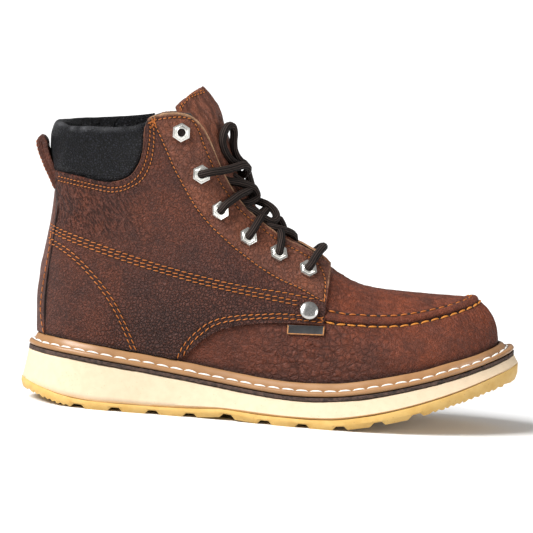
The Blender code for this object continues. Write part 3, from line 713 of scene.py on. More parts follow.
class Groups:
    """Effects that several finishes share, each built once."""

    def __init__(self) -> None:
        """Builds the groups."""
        self.grain = self.leather_grain()
        self.mottle = self.uneven_dye()
        self.specks = self.loose_specks()

    def leather_grain(self) -> bpy.types.NodeTree:
        """Makes pebbles, folds and pores of leather.

        Returns:
            The group, with a height, a mask of the cracks and fold troughs for painted shade, and a mask of
            the tops for painted light and shade on the grain.
        """
        shares = {"Pebble Share": 0.5, "Fold Share": 0.5, "Pore Share": 0.3}
        sizes = {"Pebbles": 260.0, "Folds": 300.0, "Pores": 1100.0}
        net, start, end = group("leather_grain", {**sizes, **shares}, ("Height", "Lines", "Tops"))
        net.tree.interface.new_socket("Fold Place", in_out="INPUT", socket_type="NodeSocketVector")
        size, where = start.outputs["Pebbles"], start.outputs["Place"]
        cloud = net.add("TexNoise",
                        {"Vector": where, "Scale": net.math("MULTIPLY", size, 0.7), "Detail": 1.0})
        centred = net.add("VectorMath", {0: cloud.outputs["Color"], 1: (0.5, 0.5, 0.5)},
                          operation="SUBTRACT")
        reach = net.math("DIVIDE", 1.1, size)
        shift = net.add("VectorMath", {0: centred.outputs[0], "Scale": reach}, operation="SCALE")
        bent = net.add("VectorMath", {0: where, 1: shift.outputs[0]}, operation="ADD").outputs[0]
        cells = net.add("TexVoronoi", {"Vector": bent, "Scale": size}, feature="DISTANCE_TO_EDGE")
        cell = cells.outputs["Distance"]
        fold = net.noise(start.outputs["Fold Place"], start.outputs["Folds"], 1.5, 0.5)
        forms = {"Pebble Share": net.remap(cell, 0.0, 0.3),
                 "Fold Share": net.remap(fold, 0.36, 0.62),
                 "Pore Share": net.remap(net.noise(bent, start.outputs["Pores"], 2.0, 0.6), 0.32, 0.68)}
        height, whole = 0.0, 0.01
        for key, form in forms.items():
            height = net.math("ADD", height, net.math("MULTIPLY", form, start.outputs[key]))
            whole = net.math("ADD", whole, start.outputs[key])
        net.feed(end.inputs["Height"], height)
        net.feed(end.inputs["Tops"], net.math("DIVIDE", height, whole))
        # Painted shade: the cracks between pebbles and the troughs of the folds are darkened in the finish.
        deep = net.math("MULTIPLY", net.remap(cell, 0.075, 0.0), start.outputs["Pebble Share"])
        weak = net.math("MULTIPLY", start.outputs["Fold Share"], 0.44)
        trough = net.math("MULTIPLY", net.remap(forms["Fold Share"], 0.3, 0.0), weak)
        net.feed(end.inputs["Lines"], net.math("MAXIMUM", deep, trough))
        return net.tree

    def uneven_dye(self) -> bpy.types.NodeTree:
        """Makes clouds of darker and redder dye.

        Returns:
            The group, with a mask for each.
        """
        net, start, end = group("uneven_dye", {"Clouds": 60.0}, ("Dark", "Red"))
        where, size = start.outputs["Place"], start.outputs["Clouds"]
        wide = net.noise(where, size, 4.0, 0.62)
        fine = net.noise(where, net.math("MULTIPLY", size, 7.0), 3.0, 0.6)
        both = net.math("ADD", net.math("MULTIPLY", wide, 0.72), net.math("MULTIPLY", fine, 0.28))
        net.feed(end.inputs["Dark"], net.remap(both, 0.38, 0.66))
        moved = net.add("VectorMath", {0: where, 1: (0.31, 0.17, 0.53)}, operation="ADD").outputs[0]
        broad = net.noise(moved, net.math("MULTIPLY", size, 0.6), 3.0, 0.6)
        net.feed(end.inputs["Red"], net.remap(broad, 0.46, 0.68))
        return net.tree

    def loose_specks(self) -> bpy.types.NodeTree:
        """Makes small scattered specks.

        Returns:
            The group, with a mask of the specks.
        """
        net, start, end = group("loose_specks", {"Count": 300.0, "Size": 0.16}, ("Specks",))
        where, count = start.outputs["Place"], start.outputs["Count"]
        cells = net.add("TexVoronoi", {"Vector": where, "Scale": count})
        dots = net.math("LESS_THAN", cells.outputs["Distance"], start.outputs["Size"])
        patches = net.noise(where, net.math("MULTIPLY", count, 0.3))
        net.feed(end.inputs["Specks"], net.math("MULTIPLY", dots, net.math("GREATER_THAN", patches, 0.52)))
        return net.tree


groups = Groups()


def start_material(name: str) -> tuple[bpy.types.Material, Net, bpy.types.Node, bpy.types.NodeSocket]:
    """Starts a material on the piece's own coordinates.

    Args:
        name: The material's name.

    Returns:
        The material, its net, its shader and its coordinates.
    """
    made = bpy.data.materials.new(name)
    made.use_nodes = True
    net = Net(made.node_tree)
    shader = made.node_tree.nodes["Principled BSDF"]
    return made, net, shader, net.add("TexCoord").outputs["Object"]


def bump(net: Net, shader: bpy.types.Node, height: bpy.types.NodeSocket,
         strength: float, reach: float) -> None:
    """Gives a shader relief from a height.

    Args:
        net: The material's net.
        shader: The shader.
        height: The height.
        strength: From 0 to 1.
        reach: Its depth in millimetres.
    """
    node = net.add("Bump", {"Strength": strength, "Distance": reach * MM, "Height": height})
    net.feed(shader.inputs["Normal"], node.outputs["Normal"])


@dataclass(frozen=True)
class Leather:
    """Pebbled leather with uneven dye and pale cut edges, with painted shade in its cracks and along its
    seams, painted light and shade over its grain, and on the collar a painted highlight.
    """

    name: str
    body: Colour
    dark: Colour
    red: Colour
    pebbles: float = 260.0
    pebble: float = 0.15
    fold: float = 0.3
    pores: float = 0.35
    folds: float = 320.0
    angle: float = 0.0
    stretch: float = 1.0
    # How dark the painted shade in the cracks is.
    crack_shade: float = 0.75
    # Painted light and shade over the grain: the share for its valleys and for its tops.
    lift: tuple[float, float] = (0.72, 1.2)
    reach: float = 0.7
    gloss: float = 0.44
    clouds: float = 60.0
    shine: float = 0.23
    # Pale colour of cut edges; on the collar it is the colour of the painted highlight.
    bare: Colour = (0.6, 0.36, 0.2)

    def material(self) -> bpy.types.Material:
        """Builds the finish, with the attributes pebble, fold, deep, seam and raw where a piece has them;
        deep darkens, seam lays painted shade, and raw lays the pale cut edge or the collar's painted
        highlight.

        Returns:
            The material.
        """
        made, net, shader, where = start_material(self.name)
        turn = (0.0, math.radians(self.angle), 0.0)
        stretched = {"Vector": where, "Rotation": turn, "Scale": (self.stretch, 1.0, 1.0)}
        turned = net.add("Mapping", stretched, vector_type="TEXTURE").outputs[0]
        pebble, fold, deep, seam, pale_edge_and_highlight = (net.add("Attribute", attribute_name=name).outputs["Fac"]
                                          for name in ("pebble", "fold", "deep", "seam", "raw"))
        grain = net.add("Group", {
            "Place": where, "Fold Place": turned, "Pebbles": self.pebbles, "Folds": self.folds,
            "Pebble Share": net.math("ADD", pebble, self.pebble),
            "Fold Share": net.math("ADD", fold, self.fold),
            "Pore Share": self.pores,
        }, node_tree=groups.grain)
        dye = net.add("Group", {"Place": where, "Clouds": self.clouds}, node_tree=groups.mottle)
        colour = net.blend(net.math("MULTIPLY", dye.outputs["Dark"], 0.75), self.body, self.dark)
        colour = net.blend(net.math("MULTIPLY", dye.outputs["Red"], 0.6), colour, self.red)
        # Darker where deep is marked: inside the collar and low on the vamp this is painted shade.
        colour = net.blend(net.math("MULTIPLY", deep, 0.7), colour, self.dark)
        # Painted shade in the cracks and fold troughs, and painted light and shade from the grain's valleys
        # to its tops.
        shade = net.math("SUBTRACT", 1.0, net.math("MULTIPLY", grain.outputs["Lines"], self.crack_shade))
        lift = net.remap(grain.outputs["Tops"], 0.3, 0.75, *self.lift)
        colour = net.blend(1.0, colour, net.math("MULTIPLY", shade, lift), "MULTIPLY")
        # Painted shade along seams and stitch grooves, where the leather meets the welt and in the gap by
        # the backstay.
        colour = net.blend(net.math("MULTIPLY", seam, 0.88), colour, tuple(c * 0.12 for c in self.dark))
        # The pale colour of cut edges, and on the collar a painted highlight.
        colour = net.blend(pale_edge_and_highlight, colour, self.bare)
        net.feed(shader.inputs["Base Color"], colour)
        shader.inputs["Specular IOR Level"].default_value = self.shine
        rough = net.math("ADD", self.gloss, net.math("MULTIPLY", dye.outputs["Dark"], 0.1))
        matt = net.math("MULTIPLY", grain.outputs["Lines"], 0.25)
        net.feed(shader.inputs["Roughness"], net.math("ADD", rough, matt))
        bump(net, shader, grain.outputs["Height"], 1.0, self.reach)
        return made


@dataclass(frozen=True)
class Plain:
    """A finish with cloudy colour, fine grain and, where wanted, specks."""

    name: str
    body: Colour
    shade: Colour
    rough: float = 0.6
    clouds: float = 120.0
    grain: float = 1500.0
    relief: float = 0.3
    reach: float = 0.2
    specks: float = 0.0
    speck: Colour = (0.3, 0.2, 0.1)
    metal: float = 0.0
    sheen: float = 0.0

    def material(self) -> bpy.types.Material:
        """Builds the finish.

        Returns:
            The material.
        """
        made, net, shader, where = start_material(self.name)
        cloud = net.remap(net.noise(where, self.clouds, 4.0, 0.6), 0.35, 0.68)
        colour = net.blend(cloud, self.body, self.shade)
        if self.specks:
            dots = net.add("Group", {"Place": where, "Count": self.specks}, node_tree=groups.specks)
            colour = net.blend(net.math("MULTIPLY", dots.outputs["Specks"], 0.7), colour, self.speck)
        net.feed(shader.inputs["Base Color"], colour)
        fine = net.noise(where, self.grain, 3.0, 0.6)
        net.feed(shader.inputs["Roughness"],
                 net.remap(fine, 0.3, 0.7, self.rough - 0.06, self.rough + 0.08))
        shader.inputs["Metallic"].default_value = self.metal
        shader.inputs["Sheen Weight"].default_value = self.sheen
        bump(net, shader, fine, self.relief, self.reach)
        return made


@dataclass(frozen=True)
class Braid:
    """Woven lace with ribs along it, on the lace's own map, the raised ribs painted lighter as a painted
    highlight.
    """

    name: str
    body: Colour
    ridge_highlight: Colour
    weave: float = 5200.0
    strands: int = 2
    ribs: int = 11
    fuzz: float = 2600.0

    def material(self) -> bpy.types.Material:
        """Builds the finish.

        Returns:
            The material.
        """
        made, net, shader, where = start_material(self.name)
        along, around, _ = net.add("SeparateXYZ", {0: net.add("TexCoord").outputs["UV"]}).outputs
        forth = net.math("MULTIPLY", along, self.weave)
        about = net.math("MULTIPLY", around, math.tau * self.strands)
        slant, other = (net.math("SINE", net.math(way, forth, about)) for way in ("ADD", "SUBTRACT"))
        weave = net.math("MULTIPLY", slant, other)
        ribs = net.math("SINE", net.math("MULTIPLY", around, math.tau * self.ribs))
        height = net.math("ADD", net.math("MULTIPLY", ribs, 0.7), net.math("MULTIPLY", weave, 0.45))
        fuzz = net.noise(where, self.fuzz, 2.0)
        share = net.remap(net.math("ADD", height, net.math("MULTIPLY", fuzz, 0.6)), -0.2, 1.3)
        # Painted highlight: the higher the rib, the nearer the colour comes to the ridge highlight.
        net.feed(shader.inputs["Base Color"], net.blend(share, self.body, self.ridge_highlight))
        net.feed(shader.inputs["Roughness"], net.remap(fuzz, 0.3, 0.7, 0.6, 0.8))
        shader.inputs["Specular IOR Level"].default_value = 0.15
        bump(net, shader, height, 0.7, 0.3)
        return made


@dataclass(frozen=True)
class Backdrop:
    """A pale floor that sends little light back onto the boot."""

    name: str
    seen: Colour
    bounce: Colour

    def material(self) -> bpy.types.Material:
        """Builds the finish.

        Returns:
            The material.
        """
        made, net, shader, where = start_material(self.name)
        uneven = net.remap(net.noise(where, 2.0), 0.3, 0.7, 0.985, 1.0)
        scattered = net.add("LightPath").outputs["Is Diffuse Ray"]
        colour = net.blend(scattered, self.seen, self.bounce)
        net.feed(shader.inputs["Base Color"], net.blend(1.0, colour, uneven, "MULTIPLY"))
        shader.inputs["Roughness"].default_value = 0.85
        shader.inputs["Specular IOR Level"].default_value = 0.0
        return made


class Finishes:
    """Every material of the boot, built once."""

    def __init__(self) -> None:
        """Builds them."""
        brown = dict(body=(0.11, 0.0355, 0.022), dark=(0.057, 0.025, 0.02), red=(0.142, 0.041, 0.021))
        russet = dict(body=(0.18, 0.0455, 0.0215), dark=(0.082, 0.0285, 0.019), red=(0.21, 0.0505, 0.02))
        pale = dict(body=(0.182, 0.063, 0.0365), dark=(0.105, 0.04, 0.0265), red=(0.22, 0.07, 0.034))
        self.vamp = Leather("vamp_leather", pebbles=240.0, pebble=0.03, fold=0.08, pores=0.4, folds=420.0,
                            angle=12.0, stretch=2.2, crack_shade=0.66, lift=(0.76, 1.17), reach=1.2,
                            **russet).material()
        self.quarter = Leather("quarter_leather", pebbles=500.0, pebble=0.22, fold=0.05, pores=0.5,
                               folds=880.0, angle=54.0, stretch=3.6, crack_shade=0.9, lift=(0.66, 1.28),
                               reach=1.1, **brown).material()
        self.stay = Leather("eyestay_leather", pebbles=330.0, pebble=0.26, fold=0.14, folds=260.0,
                            angle=20.0, stretch=1.6, crack_shade=0.6, reach=1.2, **pale).material()
        self.strap = Leather("strap_leather", pebbles=480.0, fold=0.1, **brown).material()
        self.tongue = Leather("tongue_leather", pebbles=340.0, fold=0.55, folds=300.0, angle=55.0,
                              stretch=2.6, reach=0.9, **pale).material()
        self.raw = Plain("raw_edge", (0.52, 0.29, 0.16), (0.38, 0.19, 0.09), 0.8, 400, 2600, 0.5).material()
        self.lip = Plain("dark_edge", (0.17, 0.06, 0.03), (0.1, 0.04, 0.025), 0.6, 300, 2200).material()
        # The collar's bare colour is a painted highlight, and its wide lift paints light and shade over the
        # grain.
        self.black = Leather("collar_leather", body=(0.0078, 0.0082, 0.0112), dark=(0.005, 0.0053, 0.0073),
                             red=(0.0096, 0.0101, 0.0137), pebbles=700.0, pebble=0.9, fold=0.05, pores=0.5,
                             crack_shade=0.9, lift=(0.1, 2.3), reach=1.3, gloss=0.36, shine=0.24,
                             bare=(0.105, 0.106, 0.113)).material()
        self.lining = Plain("lining_fabric", (0.028, 0.022, 0.02), (0.016, 0.013, 0.012), 0.85, 90, 2400,
                            0.5, sheen=0.2).material()
        self.thread = Plain("orange_thread", (0.53, 0.158, 0.02), (0.36, 0.096, 0.012),
                            0.55, 900, 4200, 0.6).material()
        self.bold = Plain("bold_thread", (0.66, 0.245, 0.03), (0.47, 0.155, 0.017), 0.5, 700, 3600,
                          0.6).material()
        self.white = Plain("white_thread", (0.95, 0.94, 0.9), (0.84, 0.82, 0.76), 0.6, 900, 4200,
                           0.6).material()
        # Painted shade for needle holes and for the wells of the eyelets.
        self.hole = Plain("needle_hole_shade", (0.012, 0.007, 0.006), (0.02, 0.011, 0.008), 0.9).material()
        self.welt = Plain("welt_leather", (0.365, 0.192, 0.083), (0.31, 0.158, 0.066),
                          0.36, 45, 900, 0.08).material()
        self.dark = Plain("layer_leather", (0.1, 0.056, 0.042), (0.018, 0.011, 0.009),
                          0.8, 480, 1700, 0.9, 0.5).material()
        self.foam = Plain("wedge_foam", (0.76, 0.6, 0.415), (0.72, 0.56, 0.38), 0.7, 200, 3000, 0.2,
                          specks=520.0, speck=(0.6, 0.46, 0.27)).material()
        self.gum = Plain("gum_rubber", (0.7, 0.45, 0.14), (0.63, 0.38, 0.1), 0.55, 120, 2400, 0.2,
                         specks=420.0, speck=(0.5, 0.27, 0.07)).material()
        self.nickel = Plain("bright_nickel", (0.84, 0.825, 0.78), (0.8, 0.785, 0.73), 0.3, 60, 300, 0.0,
                            metal=1.0).material()
        # A darker copy of the nickel for the rivets, with painted darker reflections.
        self.dome = Plain("domed_nickel", (0.55, 0.54, 0.52), (0.5, 0.49, 0.47), 0.26, 60, 300, 0.0,
                          metal=1.0).material()
        # The lace's second colour is a painted highlight on its raised ribs.
        self.lace = Braid("lace_braid", (0.0042, 0.0029, 0.0025), (0.054, 0.0365, 0.0305)).material()
        self.tag = Plain("tag_black", (0.012, 0.012, 0.013), (0.02, 0.02, 0.021), 0.5, 300, 2000,
                         0.4).material()
        self.tag_rim = Plain("tag_rim", (0.45, 0.2, 0.06), (0.3, 0.12, 0.04), 0.6, 600, 2600,
                             0.4).material()
        self.insole = Plain("insole_cover", (0.03, 0.026, 0.024), (0.018, 0.016, 0.015),
                            0.85, 80, 1500, 0.4).material()
        self.floor = Backdrop("pale_floor", (0.93, 0.93, 0.93), (0.56, 0.56, 0.56)).material()


finishes = Finishes()


# Stage


@dataclass
class Studio:
    """Floor, soft lights and the camera at the photograph's place."""

    eye: tuple[float, float, float] = (0.0, -2500.0, 330.0)
    aim: tuple[float, float, float] = (0.0, 0.0, 100.0)
    lens: float = 276.32
    shift: tuple[float, float] = (-0.0236, -0.0262)
    roll: float = 4.27
    surround: float = 0.3
    sun: float = 4.45
    sun_spread: float = 34.0
    lit: tuple[float, float, float] = (0.0, 0.0, 0.09)

    def build(self) -> None:
        """Places all of it."""
        self.camera()
        self.floor()
        self.lights()

    def camera(self) -> None:
        """Places the camera."""
        data = bpy.data.cameras.new("camera")
        data.lens, data.sensor_width = self.lens, 36.0
        data.shift_x, data.shift_y = self.shift
        data.clip_end = 100.0
        camera = bpy.data.objects.new("camera", data)
        bpy.context.scene.collection.objects.link(camera)
        eye, aim = Vector(self.eye) * MM, Vector(self.aim) * MM
        look = (aim - eye).to_track_quat("-Z", "Y").to_matrix().to_4x4()
        rolled = Matrix.Rotation(math.radians(self.roll), 4, "Z")
        camera.matrix_world = Matrix.Translation(eye) @ look @ rolled
        bpy.context.scene.camera = camera

    def floor(self) -> None:
        """Lays a pale floor that reaches past the view."""
        focus(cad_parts["outsole"])
        bpy.ops.object.select_all(action="DESELECT")
        bpy.ops.mesh.primitive_grid_add(x_subdivisions=8, y_subdivisions=8, size=60.0, location=(0, 0, 0))
        floor = bpy.context.object
        floor.name = "floor"
        floor.data.materials.append(finishes.floor)

    def lights(self) -> None:
        """Sets a pale surround and three soft lights."""
        scene = bpy.context.scene
        scene.view_settings.view_transform = "Standard"
        world = bpy.data.worlds.new("surround")
        scene.world = world
        world.use_nodes = True
        background = world.node_tree.nodes["Background"]
        background.inputs["Color"].default_value = (1.0, 1.0, 1.0, 1.0)
        background.inputs["Strength"].default_value = self.surround
        sun = bpy.data.lights.new("top_light", "SUN")
        sun.energy, sun.angle = self.sun, math.radians(self.sun_spread)
        self.place(sun, (-0.85, -0.62, 1.15))
        for name, at, size, power in (
            ("left_box", (-1.3, -1.3, 0.9), 0.9, 9.0),
            ("right_box", (1.5, -0.6, 0.5), 0.8, 9.0),
        ):
            lamp = bpy.data.lights.new(name, "AREA")
            lamp.energy, lamp.size = power, size
            self.place(lamp, at)

    def place(self, lamp: bpy.types.Light, at: tuple[float, float, float]) -> None:
        """Puts a lamp somewhere, turned to the boot.

        Args:
            lamp: The lamp.
            at: Its place in metres.
        """
        obj = bpy.data.objects.new(lamp.name, lamp)
        bpy.context.scene.collection.objects.link(obj)
        obj.location = at
        obj.rotation_euler = (Vector(self.lit) - Vector(at)).to_track_quat("-Z", "Y").to_euler()


# Cords


@dataclass
class Lace:
    """One round lace: bar, crossings and ties through the eyelets, and the bow."""

    wide: float = 5.0
    sides: int = 22
    ribs: int = 11
    step: float = 1.1
    shut: float = 0.72
    into_knot: tuple[float, float, float] = (-26.8, 6.0, 151.4)
    bar: Table = ((19.3, -29.7, 95.9), (20.9, -24.2, 98.6), (23.5, -16.4, 102.4), (26.0, -8.0, 105.0),
                  (27.2, 0.0, 105.6))
    rising: tuple[Table, ...] = (
        ((0.4, -28.5, 105.8), (0.9, -25.1, 108.8), (0.6, -19.5, 112.3), (-2.2, -11.5, 115.0),
         (-6.1, -6.5, 116.4)),
        ((-17.1, -30.7, 114.4), (-15.7, -28.2, 117.0), (-13.4, -20.5, 121.0), (-11.6, -10.5, 123.8),
         (-9.5, -4.0, 126.0)),
        ((-34.7, -34.7, 129.2), (-31.4, -29.9, 131.8), (-27.4, -23.5, 134.8), (-22.9, -15.0, 137.0),
         (-19.9, -6.0, 138.4)),
        ((-45.2, -35.8, 148.6), (-39.9, -30.6, 149.4), (-34.6, -23.5, 150.4), (-28.4, -15.0, 152.2)),
    )
    tucked: tuple[Table, ...] = (
        ((-39.0, -16.5, 144.4), (-34.4, -19.5, 143.2), (-28.8, -16.5, 142.5), (-22.3, -12.0, 140.8),
         (-17.6, -6.5, 138.0), (-16.1, -4.5, 134.0), (-19.2, -9.0, 131.1), (-24.1, -15.0, 129.7),
         (-29.0, -16.0, 130.0)),
        ((-32.2, -9.0, 146.1), (-27.1, -6.0, 142.6), (-21.4, -1.0, 139.3), (-18.7, 3.0, 135.1),
         (-20.2, 4.0, 130.6), (-24.0, 12.0, 129.5)),
        ((-13.0, -12.0, 114.8), (-9.2, -16.0, 117.0), (-6.7, -16.0, 116.6), (-1.7, -13.5, 115.7),
         (3.2, -6.0, 114.2), (6.8, 1.0, 112.2), (8.4, 8.0, 110.0), (8.8, 14.0, 107.0)),
        ((-2.0, 4.0, 121.0), (1.2, 8.0, 115.6), (2.0, 14.0, 110.5)),
    )
    loop_up: Table = (
        (-27.2, -3.0, 151.6), (-33.0, -11.0, 155.0), (-37.3, -15.0, 160.4), (-39.4, -16.5, 166.6),
        (-38.6, -15.5, 172.6), (-36.3, -12.5, 176.2), (-33.8, -9.5, 175.4), (-32.8, -7.5, 171.6),
        (-32.8, -6.0, 166.8), (-32.2, -4.0, 161.8), (-30.2, -1.0, 157.1), (-26.8, 1.0, 153.1),
    )
    loop_down: Table = (
        (-21.0, 3.0, 133.1), (-15.6, 0.0, 130.9), (-9.6, -1.5, 129.0), (-4.9, -4.0, 125.8),
        (-3.2, -8.0, 122.0), (-5.6, -12.0, 119.8), (-10.6, -14.8, 121.6), (-17.0, -17.0, 125.4),
        (-22.5, -18.0, 127.6), (-28.0, -15.5, 128.4),
    )
    end_long: Table = ((-22.9, 9.4, 147.2), (-19.1, 24.3, 131.9), (-19.8, 31.3, 119.6),
                       (-22.3, 34.7, 109.5), (-23.5, 36.9, 101.0))
    end_short: Table = ((-28.5, 8.5, 148.0), (-33.5, 18.5, 149.0), (-38.5, 28.0, 151.0),
                        (-44.0, 35.0, 154.5), (-49.5, 38.0, 159.0), (-53.0, 38.6, 163.0))
    knot: Table = ((-30.6, -18.0, 151.4), (-28.4, -15.0, 152.2), (-24.6, -9.0, 152.4), (-22.8, -4.0, 150.3),
                   (-24.1, 0.5, 147.0), (-27.4, 4.0, 145.6), (-30.9, 6.0, 147.8), (-30.2, 5.6, 151.6),
                   (-26.4, 3.6, 153.2), (-23.6, 5.6, 150.6))

    def build(self, eyelets: dict[tuple[int, Side], Line]) -> None:
        """Makes every stretch of the lace.

        Args:
            eyelets: Middle and outward direction of each eyelet by number and side.
        """
        flip = np.array([1, -1, 1])
        out = {key: [middle - way * 2.4, middle + way * 0.8] for key, (middle, way) in eyelets.items()}
        half = [np.array(p) for p in self.bar]
        back = [p * flip for p in half[-2::-1]]
        runs = [[*out[1, Side.OUTER], *half, *back, *out[1, Side.INNER][::-1]]]
        for number, rows in enumerate(self.rising, 2):
            for side in Side:
                way = [np.array(p) * (flip if side is Side.INNER else 1) for p in rows]
                if rows is self.rising[-1] and side is Side.INNER:
                    way += [np.array(self.into_knot)]
                runs.append([*out[number, side], *way])
        runs += [[np.array(p) for p in rows] for rows in self.tucked]
        pieces = [self.tube(f"lacing_{i}", run)[0] for i, run in enumerate(runs)]
        lacing = self.joined("lacing", pieces)
        dress(lacing, "lace_cord", finishes.lace, node=(
            "lace_bar", "lace_cross_low", "lace_cross_mid", "lace_cross_high", "lace_tie_outer",
            "lace_tie_inner"))
        self.bow()

    def bow(self) -> None:
        knot = self.tube("bow_knot", [np.array(p) for p in self.knot])[0]
        dress(knot, "lace_cord", finishes.lace, node="lace_knot")
        for name, rows, node, far, others in (
            ("bow_loop_up", self.loop_up, "lace_loop_up", "object", [knot]),
            ("bow_loop_down", self.loop_down, "lace_loop_down", "object", []),
            ("bow_end_long", self.end_long, "lace_end_long", "bare", []),
            ("bow_end_short", self.end_short, "lace_end_short", "bare", []),
        ):
            piece, line = self.tube(name, [np.array(p) for p in rows])
            dress(piece, "lace_cord", finishes.lace, node=node)

    def tube(self, name: str, way: list[np.ndarray]) -> tuple[bpy.types.Object, np.ndarray]:
        """Makes one stretch of ribbed lace.

        Args:
            name: The piece's name.
            way: Points that it passes.

        Returns:
            The piece and its middle line in millimetres.
        """
        line = curve_through(np.array(way), self.step)
        along = np.gradient(line, axis=0)
        along /= np.linalg.norm(along, axis=1)[:, None]
        first = np.cross(along[0], (0.3, 1.0, 0.2))
        turn = np.arange(self.sides) / self.sides * math.tau
        reach = self.wide / 2 * (0.96 + 0.04 * np.cos(turn * self.ribs))
        rings, total = [], len(line)
        for index, (at, way_on) in enumerate(zip(line, along)):
            first = first - way_on * np.dot(first, way_on)
            first = first / np.linalg.norm(first)
            second = np.cross(way_on, first)
            shut = self.shut if index in (0, total - 1) else 1.0
            ring = first * np.cos(turn)[:, None] + second * np.sin(turn)[:, None]
            rings.append(at + ring * reach[:, None] * shut)
        count = self.sides
        faces = []
        for low in range(0, (total - 1) * count, count):
            for i in range(count):
                after = (i + 1) % count
                faces.append((low + i, low + after, low + count + after, low + count + i))
        faces += [tuple(range(count))[::-1], tuple(range((total - 1) * count, total * count))]
        mesh = bpy.data.meshes.new(name)
        mesh.from_pydata((np.vstack(rings) * MM).tolist(), [], faces)
        chart = mesh.uv_layers.new(name="lace_map")
        run = np.arange(total) * self.step * MM
        for face in mesh.polygons:
            closing = face.index < (total - 1) * count and face.index % count == count - 1
            for loop in face.loop_indices:
                ring, place = divmod(mesh.loops[loop].vertex_index, count)
                chart.data[loop].uv = (run[ring], 1.0 if closing and place == 0 else place / count)
        obj = new_object(name, mesh)
        smooth(obj, 60)
        return obj, line

    def joined(self, name: str, pieces: list[bpy.types.Object]) -> bpy.types.Object:
        """Joins stretches into one piece.

        Args:
            name: The piece's name.
            pieces: The stretches.

        Returns:
            The joined piece.
        """
        focus(pieces[0])
        for piece in pieces:
            piece.select_set(True)
        bpy.ops.object.join()
        pieces[0].name = pieces[0].data.name = name
        return pieces[0]


# Sole


@dataclass
class Sole:
    """Gum outsole, foam wedge, dark layer, welt with its white stitches, and the insole."""

    rib: float = 1.0
    seat: float = 0.7
    back: tuple[float, float, float] = (-147.4, 0.0, 35.6)
    tip: tuple[float, float, float] = (144.2, 6.0, 51.2)
    heel_ribs: tuple[float, float, int] = (-148.0, -122.0, 16)
    toe_ribs: tuple[float, float, int] = (98.0, 143.0, 26)
    tread: Table = ((-152, 6.79), (-136, 3.35), (-120, 0.37), (-112, 0), (40, 0.04), (56, 2.41), (72, 5.81),
                    (88, 10.2), (104, 15.65), (120, 21.47), (136, 27.41), (152, 33.27))
    groove: Table = (
        # x, outer y, inner y, z
        (-146.0, -6.6, 6.6, 35.5), (-140.0, -16.4, 16.3, 35.4), (-130.0, -27.1, 26.6, 35.0),
        (-115.0, -33.8, 33.0, 33.9), (-95.0, -36.8, 35.7, 32.0), (-70.0, -37.0, 35.0, 29.3),
        (-45.0, -38.2, 34.5, 26.5), (-20.0, -41.8, 35.0, 23.6), (5.0, -46.2, 38.4, 21.2),
        (30.0, -49.3, 44.1, 21.4), (55.0, -50.0, 48.8, 24.7), (80.0, -47.3, 50.1, 30.6),
        (100.0, -42.0, 48.0, 36.1), (115.0, -35.0, 43.6, 40.7), (127.0, -26.1, 36.6, 44.8),
        (136.0, -15.6, 26.8, 48.1), (142.0, -4.6, 16.6, 50.4),
    )

    def build(self) -> None:
        """Makes and dresses the layers from the ground up."""
        self.outsole()
        self.wedge()
        self.dark_layer()
        self.welt()
        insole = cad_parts["insole"]
        insole.data.materials.clear()
        insole.data.materials.append(finishes.insole)

    def outsole(self) -> None:
        """Cuts fine ribs across both ends of the tread and softens the edges."""
        obj = copy_of("outsole", "gum_outsole")
        xs, zs = zip(*self.tread)
        edit(obj)
        cuts = [np.linspace(low, high, count) for low, high, count in (self.heel_ribs, self.toe_ribs)]
        for x in np.concatenate(cuts):
            bpy.ops.mesh.select_all(action="SELECT")
            bpy.ops.mesh.bisect(plane_co=(x * MM, 0, 0), plane_no=(1, 0, 0))
        leave()
        points = read(obj)
        low = points[:, 2] < np.interp(points[:, 0], xs, zs) + 1.2
        for run in cuts:
            for x in run[1::2]:
                points[low & (abs(points[:, 0] - x) < 0.02), 2] += self.rib
        write(obj, points)
        bevel(obj, 0.45, 2, 34)
        smooth(obj, 40)
        dress(obj, "gum_rubber", finishes.gum, node="outsole")

    def wedge(self) -> None:
        """Rounds the foam wedge."""
        obj = copy_of("wedge", "foam_wedge")
        crease(obj, 45, 0.93)
        subdivide(obj, 3)
        points, normals = read(obj), read(obj, "normal")
        points = points + normals * (ripple(points, 26, 5) * 0.12)[:, None]
        points[normals[:, 2] < -0.5, 2] -= self.seat
        write(obj, points)
        smooth(obj, 50)
        dress(obj, "pale_foam", finishes.foam, node="wedge")

    def dark_layer(self) -> None:
        """Roughens the cut edge of the dark layer."""
        obj = copy_of("midsole", "dark_layer")
        crease(obj, 45, 0.9)
        subdivide(obj, 4)
        points, normals = read(obj), read(obj, "normal")
        rough = ripple(points * (1, 1, 0.6), 3.2, 7) * 0.22 + ripple(points, 11, 8) * 0.18
        edge = np.clip(np.linalg.norm(normals[:, :2], axis=1), 0, 1)
        write(obj, points + normals * (rough * edge)[:, None])
        smooth(obj)
        dress(obj, "dark_leather", finishes.dark, node="midsole")

    def welt(self) -> None:
        """Rounds the welt, lets its upright edge wave a little, and stitches it."""
        obj = copy_of("welt", "storm_welt")
        crease(obj, 75, 0.35)
        subdivide(obj, 3)
        points, normals = read(obj), read(obj, "normal")
        wave = ripple(points[:, :2], 34, 11) * 0.22 + ripple(points[:, :2], 11, 12) * 0.08
        write(obj, points + normals * wave[:, None] * np.clip(normals[:, 2:], 0, 1))
        outer = [(x, y, z) for x, y, _, z in self.groove]
        inner = [(x, y, z) for x, _, y, z in self.groove]
        loop = [self.back, *outer, self.tip, *inner[::-1], self.back]
        press(obj, [Skin(obj).lay(loop)], 0.35, 1.3)
        smooth(obj)
        dress(obj, "welt_leather", finishes.welt, node="welt")
        Sewing(WELT_THREAD).sew("welt_stitches", [Skin(obj).lay(loop)], "welt_leather")


# Thread


